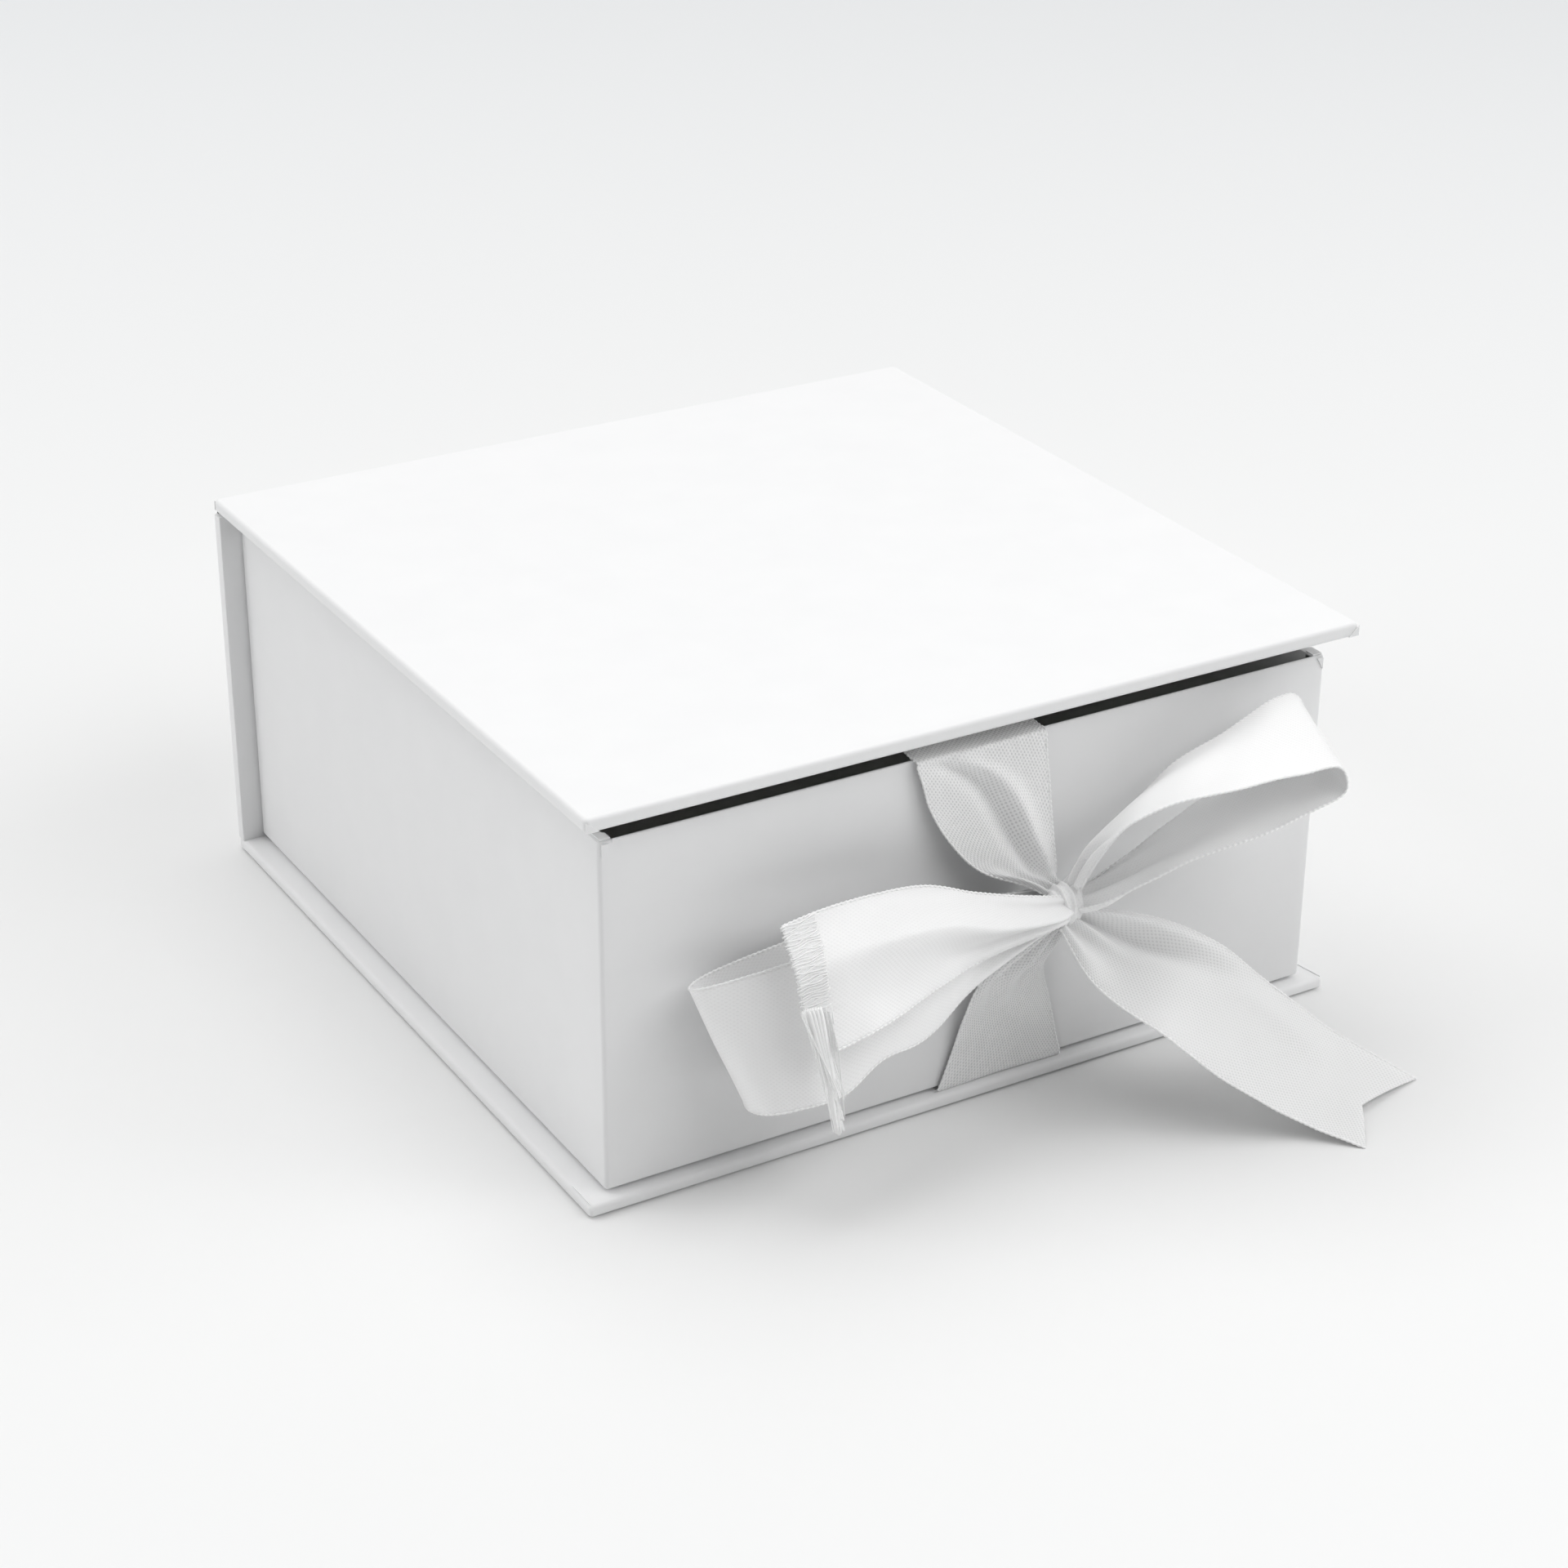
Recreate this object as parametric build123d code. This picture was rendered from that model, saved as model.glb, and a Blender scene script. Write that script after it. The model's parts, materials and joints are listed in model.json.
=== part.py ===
from build123d import *
import os

# Book-style favor box: a wrapped board case (base, spine and lid), a tray glued inside it, and a
# ribbon from the lid and one from the base that are tied in a bow over the front wall.
# Millimetres. +X right, -Y the front with the bow, +Z up, origin under the middle of the base.

# Case
CASE_WIDTH = 150.0
CASE_DEPTH = 150.0
BOARD = 2.0
PAPER = 0.25
TURN_IN = 15.0
CORNER_ROUND = 1.0
EDGE_ROUND = 0.7

# Tray
RIM_HEIGHT = 67.2
SIDE_OVERHANG = 4.0
FRONT_OVERHANG = 2.1
LINER = 0.2
STAY = 0.15
STAY_LEG = 14.0
STAY_TOP_GAP = 1.0

# Lid and its paper hinge
LID_GAP = 4.0
LID_REACH = 1.5
LINER_MARGIN = 4.0
CREASE_RADIUS = 0.3
CREASE_TAB = 6.0
HINGE_CLEAR = 0.35

# Ribbons
RIBBON_WIDTH = 25.0
RIBBON = 0.35
RIBBON_CLEAR = 0.3
RIBBON_ROLL = 0.4
LID_RIBBON_X = -1.0
LID_SLIT_INSET = 31.0
LID_SLIT = 1.6
LID_TAB = 36.0
BASE_RIBBON_X = 5.3
BASE_TAB = 45.0
BEND_STEPS = 4
EASE_STEPS = 3

# Bow
KNOT_X = 11.0
KNOT_HEIGHT = 38.5
KNOT_STAND_OFF = 9.1
KNOT_RADIUS = 3.0
KNOT_END_RADIUS = 1.6
KNOT_TALL = 7.4
LEFT_LOOP_REACH = 66.2
RIGHT_LOOP_REACH = 46.5
LEFT_TAIL_REACH = 57.5
RIGHT_TAIL_SIDE = 47.7
RIGHT_TAIL_FORWARD = 32.5
TAIL_NOTCH = 4.5

# Worked-out planes of the case and the tray
COVER = BOARD + 2 * PAPER
CASE_BACK = CASE_DEPTH / 2
BASE_FRONT = -CASE_DEPTH / 2
CASE_SIDE = CASE_WIDTH / 2
TRAY_SIDE = CASE_SIDE - SIDE_OVERHANG
TRAY_FRONT = BASE_FRONT + FRONT_OVERHANG
TRAY_BACK = CASE_BACK - COVER
TRAY_FLOOR = COVER + PAPER + BOARD
WALL = PAPER + BOARD
LID_UNDER = RIM_HEIGHT + LID_GAP
LID_TOP = LID_UNDER + COVER
LID_FRONT = BASE_FRONT - LID_REACH
LID_BACK = CASE_BACK - HINGE_CLEAR
HINGE_HEIGHT = LID_UNDER - HINGE_CLEAR
SPINE_TOP = HINGE_HEIGHT - CREASE_RADIUS
SLIT_Y = LID_FRONT + LID_SLIT_INSET
ROLL_HEIGHT = LID_UNDER - LINER - RIBBON_CLEAR - RIBBON_ROLL
KNOT = Vector(KNOT_X, TRAY_FRONT - KNOT_STAND_OFF, KNOT_HEIGHT)


def block(low, high):
    """A box between two corners."""
    size = [b - a for a, b in zip(low, high)]
    return Pos(*low) * Box(*size, align=(Align.MIN, Align.MIN, Align.MIN))


def slab(low, high, inset):
    """A board's outline with rounded corners and edges, drawn in by inset on every side."""
    body = block([a + inset for a in low], [b - inset for b in high])
    body = fillet(body.edges().filter_by(Axis.Z), CORNER_ROUND - inset)
    rims = body.edges().group_by(Axis.Z)
    return fillet(rims[0] + rims[-1], EDGE_ROUND - inset)


def upright(low, high, inset):
    """A standing block with round corners and a round top edge, drawn in by inset."""
    body = block([a + inset for a in low], [b - inset for b in high])
    body = fillet(body.edges().filter_by(Axis.Z), CORNER_ROUND - inset)
    return fillet(body.edges().group_by(Axis.Z)[-1], EDGE_ROUND - inset)


def section(centre, across, along, width, thickness):
    """A thin four-sided section of ribbon, square to its run."""
    across = across.normalized() * (width / 2)
    through = across.cross(along).normalized() * (thickness / 2)
    corners = [
        centre - across - through,
        centre + across - through,
        centre + across + through,
        centre - across + through,
    ]
    return Face(Wire.make_polygon(corners, close=True))


def eased(stations):
    """More stations on smooth curves through the given ones."""
    rows = [stations[0], *stations, stations[-1]]
    path = []
    for before, start, end, after in zip(rows, rows[1:], rows[2:], rows[3:]):
        for step in range(EASE_STEPS):
            t = step / EASE_STEPS
            weights = (
                (2 * t * t - t - t**3) / 2,
                (2 - 5 * t * t + 3 * t**3) / 2,
                (t + 4 * t * t - 3 * t**3) / 2,
                (t**3 - t * t) / 2,
            )
            blends = [
                sum((value * weight for value, weight in zip(column, weights)), column[0] * 0)
                for column in zip(before, start, end, after)
            ]
            path.append(tuple(blends))
    return [*path, stations[-1]]


def ribbon(stations):
    """A ribbon through stations of centre, width direction and spread.

    A spread of 1 is flat ribbon. Where it is gathered to a share of its width it is as many
    times thicker, so that every section keeps its area.
    """
    last = len(stations) - 1
    faces = []
    for i, (centre, across, spread) in enumerate(stations):
        along = stations[min(i + 1, last)][0] - stations[max(i - 1, 0)][0]
        faces.append(section(centre, across, along, RIBBON_WIDTH * spread, RIBBON / spread))
    return loft(faces, ruled=True)


def from_knot(reach, offsets):
    """Bow stations whose centres are per cent of a reach, from the middle of the knot."""
    return [
        (KNOT + Vector(*centre) * (reach / 100), Vector(*across).normalized(), spread)
        for centre, across, spread in offsets
    ]


def arc_stations(centre_y, centre_z, radius, first_deg, last_deg, x):
    """Flat ribbon round a bend, with its width along X. Zero degrees points to the back."""
    stations = []
    for i in range(BEND_STEPS + 1):
        turn = first_deg + (last_deg - first_deg) * i / BEND_STEPS
        arm = Vector(0, radius, 0).rotate(Axis.X, turn)
        stations.append((Vector(x, centre_y, centre_z) + arm, Vector(1, 0, 0), 1.0))
    return stations


# Case base
base_low = (-CASE_SIDE, BASE_FRONT, 0)
base_high = (CASE_SIDE, CASE_BACK, COVER)
base_board = slab(base_low, base_high, PAPER)
base_window = block(
    (-CASE_SIDE + TURN_IN, BASE_FRONT + TURN_IN, COVER - PAPER),
    (CASE_SIDE - TURN_IN, CASE_BACK - TURN_IN, COVER),
)
base_wrap = slab(base_low, base_high, 0) - base_board - base_window

# Spine, standing on the back of the base
spine_low = (-CASE_SIDE, TRAY_BACK, COVER)
spine_high = (CASE_SIDE, CASE_BACK, SPINE_TOP)
spine_board = block([a + PAPER for a in spine_low], [b - PAPER for b in spine_high])
spine_shell = block(spine_low, spine_high)
spine_shell = fillet(spine_shell.edges().filter_by(Axis.Z), PAPER)

# Hinge crease: the strip of wrap at the top of the spine, folded to a round at the hinge line
crease_tab = block(
    (-CASE_SIDE + EDGE_ROUND, CASE_BACK - PAPER, SPINE_TOP - CREASE_TAB),
    (CASE_SIDE - EDGE_ROUND, CASE_BACK, HINGE_HEIGHT),
)
crease_length = CASE_WIDTH - 2 * EDGE_ROUND
crease_roll = Pos(0, CASE_BACK, HINGE_HEIGHT) * Rot(0, 90, 0) * Cylinder(CREASE_RADIUS, crease_length)
hinge_crease = crease_tab + crease_roll
spine_wrap = spine_shell - spine_board - crease_tab

# Tray boards and the paper tapes that hold their corners
tray_low = (-TRAY_SIDE, TRAY_FRONT, COVER)
tray_high = (TRAY_SIDE, TRAY_BACK, RIM_HEIGHT)
tray_shell = upright(tray_low, tray_high, 0)
tray_core = upright(tray_low, tray_high, PAPER)
inside_x = TRAY_SIDE - WALL
inside_front = TRAY_FRONT + WALL
inside_back = TRAY_BACK - WALL
stay_top = RIM_HEIGHT - PAPER - STAY_TOP_GAP
stay_ring = tray_core - upright(tray_low, tray_high, PAPER + STAY)
corner_stays = Compound(
    children=[
        stay_ring & block((x - STAY_LEG, y - STAY_LEG, TRAY_FLOOR), (x + STAY_LEG, y + STAY_LEG, stay_top))
        for x in (-TRAY_SIDE, TRAY_SIDE)
        for y in (TRAY_FRONT, TRAY_BACK)
    ]
)


def tray_board(low, high):
    """One board of the tray, rounded where it meets the wrap and let in for the corner tapes."""
    board = tray_core & block(low, high)
    for stay in corner_stays.children:
        board -= stay
    return board


tray_bottom_board = tray_core & block(tray_low, (TRAY_SIDE, TRAY_BACK, TRAY_FLOOR))
tray_left_board = tray_board((-TRAY_SIDE, TRAY_FRONT, TRAY_FLOOR), (-inside_x, TRAY_BACK, RIM_HEIGHT))
tray_right_board = tray_board((inside_x, TRAY_FRONT, TRAY_FLOOR), tray_high)
tray_front_board = tray_board((-inside_x, TRAY_FRONT, TRAY_FLOOR), (inside_x, inside_front, RIM_HEIGHT))
tray_back_board = tray_board((-inside_x, inside_back, TRAY_FLOOR), (inside_x, TRAY_BACK, RIM_HEIGHT))

# Tray wrap: outside sheet, turned over the rim and under the floor
turn_down = block((-inside_x, inside_front, RIM_HEIGHT - TURN_IN), (inside_x, inside_back, RIM_HEIGHT))
mouth = block(
    (-inside_x + PAPER, inside_front + PAPER, TRAY_FLOOR),
    (inside_x - PAPER, inside_back - PAPER, RIM_HEIGHT),
)
tray_window = block(
    (-TRAY_SIDE + TURN_IN, TRAY_FRONT + TURN_IN, COVER),
    (TRAY_SIDE - TURN_IN, TRAY_BACK - TURN_IN, COVER + PAPER),
)
tray_wrap = (tray_shell - tray_core - tray_window + turn_down) - mouth

# Tray lining, from the floor up to the turned-down edge of the wrap
lined = block((-inside_x, inside_front, TRAY_FLOOR), (inside_x, inside_back, RIM_HEIGHT - TURN_IN))
tray_liner = lined - block(
    (-inside_x + LINER, inside_front + LINER, TRAY_FLOOR + LINER),
    (inside_x - LINER, inside_back - LINER, RIM_HEIGHT),
)

# Lid
lid_low = (-CASE_SIDE, LID_FRONT, LID_UNDER)
lid_high = (CASE_SIDE, LID_BACK, LID_TOP)
lid_board = slab(lid_low, lid_high, PAPER)
lid_window = block(
    (-CASE_SIDE + TURN_IN, LID_FRONT + TURN_IN, LID_UNDER),
    (CASE_SIDE - TURN_IN, LID_BACK - TURN_IN, LID_UNDER + PAPER),
)
lid_wrap = slab(lid_low, lid_high, 0) - lid_board - lid_window
lid_sheet = block(
    (-CASE_SIDE + LINER_MARGIN, LID_FRONT + LINER_MARGIN, LID_UNDER - LINER),
    (CASE_SIDE - LINER_MARGIN, LID_BACK - LINER_MARGIN, LID_UNDER),
)

# Lid ribbon: its glued end between lid board and lining, and the slit that it comes out of
half_ribbon = RIBBON_WIDTH / 2
lid_ribbon_tab = block(
    (LID_RIBBON_X - half_ribbon, SLIT_Y - LID_SLIT / 2, LID_UNDER),
    (LID_RIBBON_X + half_ribbon, SLIT_Y - LID_SLIT / 2 + LID_TAB, LID_UNDER + RIBBON),
)
lid_slit = block(
    (LID_RIBBON_X - half_ribbon - RIBBON_CLEAR, SLIT_Y - LID_SLIT / 2, LID_UNDER - LINER),
    (LID_RIBBON_X + half_ribbon + RIBBON_CLEAR, SLIT_Y + LID_SLIT / 2, LID_UNDER),
)
lid_liner = lid_sheet + lid_window - lid_ribbon_tab - lid_slit
lid_board -= lid_ribbon_tab

# Lid ribbon's free end: from the slit forward over the rim and down to the knot
rim_bend = EDGE_ROUND + RIBBON_CLEAR + RIBBON / 2
bend_y = TRAY_FRONT + EDGE_ROUND
bend_z = RIM_HEIGHT - EDGE_ROUND
lid_strap_over = [(Vector(LID_RIBBON_X, SLIT_Y, ROLL_HEIGHT), Vector(1, 0, 0), 1.0)]
lid_strap_over += arc_stations(bend_y, bend_z, rim_bend, 90, 180, LID_RIBBON_X)

# Each hanging station, as shares: of the way across to the knot, of the way out from the wall to
# it, of the way along from the strap's bend to it, slant of the width, spread
LID_STRAP = (
    (0.13, 0.08, 0.31, -0.06, 0.94),
    (0.28, 0.23, 0.58, -0.18, 0.83),
    (0.49, 0.45, 0.78, -0.20, 0.61),
    (0.73, 0.68, 0.86, -0.10, 0.27),
)
BASE_STRAP = (
    (0.05, 0.09, 0.18, -0.06, 0.84),
    (-0.04, 0.23, 0.38, -0.05, 0.70),
    (-0.05, 0.45, 0.61, -0.08, 0.48),
    (0.54, 0.78, 0.80, -0.10, 0.25),
    (0.91, 0.94, 0.90, 0.00, 0.18),
)


def hanging(start, stations):
    """Strap stations between where it leaves the bend and the knot."""
    path = [(start, Vector(1, 0, 0), 1.0)]
    way = KNOT - start
    for across, out, along, slant, spread in stations:
        centre = start + Vector(way.X * across, way.Y * out, way.Z * along)
        path.append((centre, Vector(1, 0, slant).normalized(), spread))
    return eased(path)


lid_roll = Pos(LID_RIBBON_X, SLIT_Y, ROLL_HEIGHT) * Rot(0, 90, 0) * Cylinder(RIBBON_ROLL, RIBBON_WIDTH)
lid_strap_end = lid_strap_over[-1][0]
lid_ribbon = lid_roll + ribbon(lid_strap_over) + ribbon(hanging(lid_strap_end, LID_STRAP))

# Base ribbon: glued under the tray, turned up in front of it
base_ribbon_height = COVER + RIBBON / 2
base_tab = block(
    (BASE_RIBBON_X - half_ribbon, TRAY_FRONT, COVER),
    (BASE_RIBBON_X + half_ribbon, TRAY_FRONT + BASE_TAB, COVER + RIBBON),
)
base_turn = arc_stations(
    TRAY_FRONT, base_ribbon_height + RIBBON_ROLL, RIBBON_ROLL, 270, 180, BASE_RIBBON_X
)
base_strap = ribbon(base_turn) + ribbon(hanging(base_turn[-1][0], BASE_STRAP))
tray_wrap -= base_tab
tray_bottom_board -= base_tab

# Knot: a small barrel that all the ribbons run into
knot_half = KNOT_TALL / 2
knot_profile = make_face(
    [
        Line((0, -knot_half), (KNOT_END_RADIUS, -knot_half)),
        ThreePointArc((KNOT_END_RADIUS, -knot_half), (KNOT_RADIUS, 0), (KNOT_END_RADIUS, knot_half)),
        Line((KNOT_END_RADIUS, knot_half), (0, knot_half)),
        Line((0, knot_half), (0, -knot_half)),
    ]
)
bow_knot = Pos(*KNOT) * revolve(Plane.XZ * knot_profile, Axis.Z)
base_ribbon = base_tab + base_strap - bow_knot

# Bow stations: centre from the knot in per cent of the reach, width direction, spread
LEFT_TAIL = (
    ((-2.6, -4.3, 0.9), (0.2, -0.2, -1), 0.20),
    ((-7.8, -5.2, 1.7), (0.25, -0.15, -1), 0.24),
    ((-34, -9.6, 5.2), (0, -0.25, -1), 0.46),
    ((-52, -13, 8.7), (-0.1, -0.5, -1), 0.66),
    ((-71, -16.5, 9.6), (-0.1, -0.7, -1), 0.82),
    ((-88, -18.3, 9.6), (0, -0.75, -1), 0.90),
    ((-100, -18.3, 7.8), (0.15, -0.75, -1), 0.92),
)
LEFT_LOOP = (
    ((-3, -0.8, -0.8), (0.2, 0, -1), 0.20),
    ((-26.5, -3, -3.8), (0, -0.15, -1), 0.45),
    ((-50, -7.6, -6.8), (0.1, -0.28, -1), 0.82),
    ((-74, -9.8, -8.3), (0, -0.43, -1), 0.92),
    ((-88.5, -9.4, -9), (0.12, -0.45, -1), 0.92),
    ((-98.5, -6, -10.6), (0.28, -0.42, -1), 0.92),
    ((-100, -0.8, -12.4), (0.34, -0.3, -1), 0.92),
    ((-96, 5.5, -13.6), (0.32, -0.15, -1), 0.92),
    ((-83, 9.4, -13.6), (0.3, -0.05, -1), 0.95),
    ((-45.5, 9.4, -9), (0.15, 0, -1), 0.85),
    ((-21, 7.3, -3.8), (0, 0, -1), 0.40),
    ((-3, 3.8, 0.3), (0.1, 0, -1), 0.18),
)
RIGHT_LOOP = (
    ((3, -1.1, 6.2), (0, -1, 0.3), 0.18),
    ((7.5, -2.2, 11.8), (-0.3, -1, 0.6), 0.26),
    ((15.7, -7.5, 28.8), (-0.4, -0.8, 0.5), 0.67),
    ((34, -15, 45.4), (-0.5, -0.8, 0.22), 0.89),
    ((56.3, -18.3, 51.4), (-0.56, -0.83, 0.05), 0.95),
    ((81.7, -18.3, 54.8), (-0.46, -0.88, -0.1), 0.95),
    ((96, -18.3, 53.8), (-0.33, -0.94, -0.11), 0.92),
    ((100, -18.3, 44.3), (-0.33, -0.94, -0.12), 0.92),
    ((89.2, -18.3, 34.8), (-0.36, -0.93, 0.08), 0.92),
    ((64.5, -17.2, 29.2), (-0.39, -0.92, 0.05), 0.88),
    ((39, -13, 19.8), (-0.47, -0.88, 0.1), 0.73),
    ((13, -4.7, 4.3), (-0.45, -0.9, 0.05), 0.38),
    ((4.3, -1.3, 0.2), (-0.3, -1, 0), 0.20),
)

# The right tail runs down to the floor: shares of its reach sideways and forwards and of the
# knot's height, then width direction and spread
RIGHT_TAIL = (
    ((0.01, 0.03, 0.94), (-0.8, -0.3, -0.4), 0.20),
    ((0.16, 0.18, 0.79), (-0.83, -0.31, -0.45), 0.62),
    ((0.36, 0.38, 0.62), (-0.81, -0.48, -0.35), 0.85),
    ((0.55, 0.55, 0.40), (-0.77, -0.54, -0.31), 0.92),
    ((0.82, 0.74, 0.13), (-0.76, -0.63, -0.15), 1.0),
)
TAIL_END_ACROSS = (-0.86, -0.51, 0)

bow_left_tail = ribbon(eased(from_knot(LEFT_TAIL_REACH, LEFT_TAIL))) - bow_knot
bow_left_loop = ribbon(eased(from_knot(LEFT_LOOP_REACH, LEFT_LOOP))) - bow_knot
bow_right_loop = ribbon(eased(from_knot(RIGHT_LOOP_REACH, RIGHT_LOOP))) - bow_knot
tail_path = [
    (
        Vector(KNOT.X + RIGHT_TAIL_SIDE * side, KNOT.Y - RIGHT_TAIL_FORWARD * forward, KNOT.Z * height),
        Vector(*across).normalized(),
        spread,
    )
    for (side, forward, height), across, spread in RIGHT_TAIL
]
tail_tip = Vector(KNOT.X + RIGHT_TAIL_SIDE, KNOT.Y - RIGHT_TAIL_FORWARD, RIBBON / 2)
tail_path.append((tail_tip, Vector(*TAIL_END_ACROSS).normalized(), 1.0))

# Swallowtail: a notch cut back into the end of the right tail
tail_across = Vector(*TAIL_END_ACROSS).normalized() * half_ribbon
tail_run = Vector(0, 0, 1).cross(tail_across).normalized() * TAIL_NOTCH
notch_floor = tail_tip - Vector(0, 0, RIBBON)
notch_corners = [
    notch_floor - tail_run,
    notch_floor + tail_across,
    notch_floor + tail_across + tail_run,
    notch_floor - tail_across + tail_run,
    notch_floor - tail_across,
]
notch_face = Face(Wire.make_polygon(notch_corners, close=True))
notch = extrude(notch_face, amount=RIBBON_WIDTH, dir=(0, 0, 1))
bow_right_tail = ribbon(eased(tail_path)) - bow_knot - notch

os.makedirs("parts", exist_ok=True)
nodes = {
    "base_board": base_board,
    "base_wrap": base_wrap,
    "spine_board": spine_board,
    "spine_wrap": spine_wrap,
    "hinge_crease": hinge_crease,
    "tray_bottom_board": tray_bottom_board,
    "tray_front_board": tray_front_board,
    "tray_back_board": tray_back_board,
    "tray_left_board": tray_left_board,
    "tray_right_board": tray_right_board,
    "corner_stays": corner_stays,
    "tray_wrap": tray_wrap,
    "tray_liner": tray_liner,
    "lid_board": lid_board,
    "lid_wrap": lid_wrap,
    "lid_liner": lid_liner,
    "lid_ribbon_tab": lid_ribbon_tab,
    "lid_ribbon": lid_ribbon,
    "base_ribbon": base_ribbon,
    "bow_knot": bow_knot,
    "bow_left_loop": bow_left_loop,
    "bow_right_loop": bow_right_loop,
    "bow_left_tail": bow_left_tail,
    "bow_right_tail": bow_right_tail,
}
for name, shape in nodes.items():
    export_step(shape, f"parts/{name}.step")
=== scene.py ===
import json
import math

import bmesh
import bpy
import numpy as np
from mathutils import Euler, Matrix, Vector


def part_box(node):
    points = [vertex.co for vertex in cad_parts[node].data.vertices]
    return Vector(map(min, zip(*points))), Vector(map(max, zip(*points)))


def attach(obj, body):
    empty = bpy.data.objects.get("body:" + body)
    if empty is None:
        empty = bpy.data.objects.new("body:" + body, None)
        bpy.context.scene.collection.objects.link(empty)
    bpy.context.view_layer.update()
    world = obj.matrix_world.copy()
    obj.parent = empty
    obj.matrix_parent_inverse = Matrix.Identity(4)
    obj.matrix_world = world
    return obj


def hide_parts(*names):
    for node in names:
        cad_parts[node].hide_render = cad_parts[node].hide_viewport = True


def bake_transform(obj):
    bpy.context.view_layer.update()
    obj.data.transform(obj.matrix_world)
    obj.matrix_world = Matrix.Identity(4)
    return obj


# Favor box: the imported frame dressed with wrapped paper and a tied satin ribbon.
# The frame is in metres, and the sizes below are in millimetres unless they say otherwise.
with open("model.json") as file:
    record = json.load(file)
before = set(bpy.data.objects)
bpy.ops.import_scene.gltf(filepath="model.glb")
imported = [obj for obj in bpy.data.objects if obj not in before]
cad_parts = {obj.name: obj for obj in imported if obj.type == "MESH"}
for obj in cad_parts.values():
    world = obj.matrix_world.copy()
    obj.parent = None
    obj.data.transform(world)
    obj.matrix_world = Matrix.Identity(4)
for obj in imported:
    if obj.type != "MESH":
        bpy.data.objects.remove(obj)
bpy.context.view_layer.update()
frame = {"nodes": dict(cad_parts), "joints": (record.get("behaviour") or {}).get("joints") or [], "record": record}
MM = 0.001

# Camera, worked out from the corners of the box: metres, degrees and lens millimetres
CAMERA_AT = (-0.27721, -0.48021, 0.30664)
CAMERA_HEADING = 30.447
CAMERA_DIP = 26.688
CAMERA_ROLL = 0.30
CAMERA_LENS = 76.64
CAMERA_SENSOR = 36.0

# Studio light: name, place and size in metres and power of each soft lamp, all aimed at the box
LAMPS = (
    ("overhead", (-0.21, 0.5, 1.85), (1.7, 1.7), 16.0),
    ("left_fill", (-1.7, 0.6, 1.0), (1.3, 1.3), 10.2),
    ("right_fill", (1.6, -0.9, 1.0), (1.4, 1.4), 7.4),
    ("front_fill", (0.4, -0.85, 1.05), (1.2, 0.8), 6.3),
)
LAMP_AIM = (0.0, 0.0, 0.05)

# Surround: its strength, the side on which it is dimmer, by what share, and how far round it dims
WORLD_STRENGTH = 0.52
DIM_SIDE = (-0.5, -0.86, 0.0)
DIM_SHARE = 0.8
DIM_TO = 0.6

# Floor: half its width and where its tone changes in metres, its tones and its shine; the lighter far tone is
# painted light that evens out the lamps' falloff
FLOOR_REACH = 3.0
FLOOR_PAINTED_LIGHT_SPAN = (0.15, 0.8)
FLOOR_NEAR = (0.85, 0.852, 0.85)
FLOOR_FAR_PAINTED_LIGHT = (0.862, 0.875, 0.884)
FLOOR_ROUGHNESS = 0.7
FLOOR_SPECULAR = 0.05

# Paper: its thickness, the tray's rim, and how far corners, feet and edges are rounded
PAPER = 0.25
RIM_WIDE = 2.5
RIM_ROUND = 0.7
FRONT_RIM_FALL = 2.0
TURN_UNDER = 15.0
CORNER_ROUND = 0.8
CORNER_LEAST = 0.1
FOOT_ROUND = 1.8
FOOT_FLAT = 0.4
BASE_FOOT = 1.2
BASE_ROUND = 0.75
BASE_FLAT = 0.5

# A rounded foot from its underside up: inset and height as shares of its size
FOOT_SHARES = ((1.0, 0.0), (0.86, 0.12), (0.5, 0.3), (0.2, 0.42), (0.06, 0.53), (0.0, 0.72))

# Paper's look: grains per metre, how far its gloss varies and how strong its relief is
PAPER_SPECULAR = 0.12
PAPER_DETAIL = 4.0
MOTTLE_SCALE = 90.0
GLOSS_SCALE = 260.0
GLOSS_SPREAD = 0.16
FIBRE_ROUGHNESS = 0.65
FIBRE_STRENGTH = 0.35

# Board's look: flecks per metre, and the height of its relief in metres
BOARD_ROUGHNESS = 0.9
BOARD_SPECULAR = 0.2
FLECK_SCALE = 700.0
FLECK_DETAIL = 5.0
FLECK_ROUGHNESS = 0.7
FLECK_RANGE = (0.4, 0.6)
FLECK_STRENGTH = 0.4
FLECK_HEIGHT = 0.0001

# Ribbon: its size and mesh, then its folds, pleats and wrinkles, its corded edges and its straps
RIBBON_WIDTH = 25.0
RIBBON_THICK = 0.24
RIBBON_STEP = 0.4
RIBBON_COLUMNS = 56
CUT_REACH = 3
DIP_APART = 1.9
SPREAD_LEAST = 0.15
PLEAT_DEEPEST = 1.7
PLEAT_WAVES = 2.5
PLEAT_SKEW = 0.06
PLEAT_PHASE = 0.7
PLEAT_SLOPE = 4.2
PLEAT_ENDS = 0.75
PLEAT_FADE = 0.4
WRINKLE = 0.07
SELVEDGE_RADIUS = 0.22
SELVEDGE_BEAD = 0.06
SELVEDGE_PITCH = 0.95
BEAD_STEPS = 6
BASE_TAB = 45.0
BASE_STRAP_X = 5.3
BASE_TURN = 0.5
SLIT_LEAD = 0.6
STRAP_CLEAR = 0.22
STRAP_PROUD = 1.4

# Wrinkles over a ribbon: share of the height, phase, and waves across and along
WRINKLES = ((1.0, 0.9, 2.8, 0.37), (0.6, 2.1, -4.2, 0.61))

# Crease of the lid's strap at the rim: how far each station lies behind its face and below its top
CREASE = ((0.5, 0.02), (0.08, 0.22), (0.0, 0.75))
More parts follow.
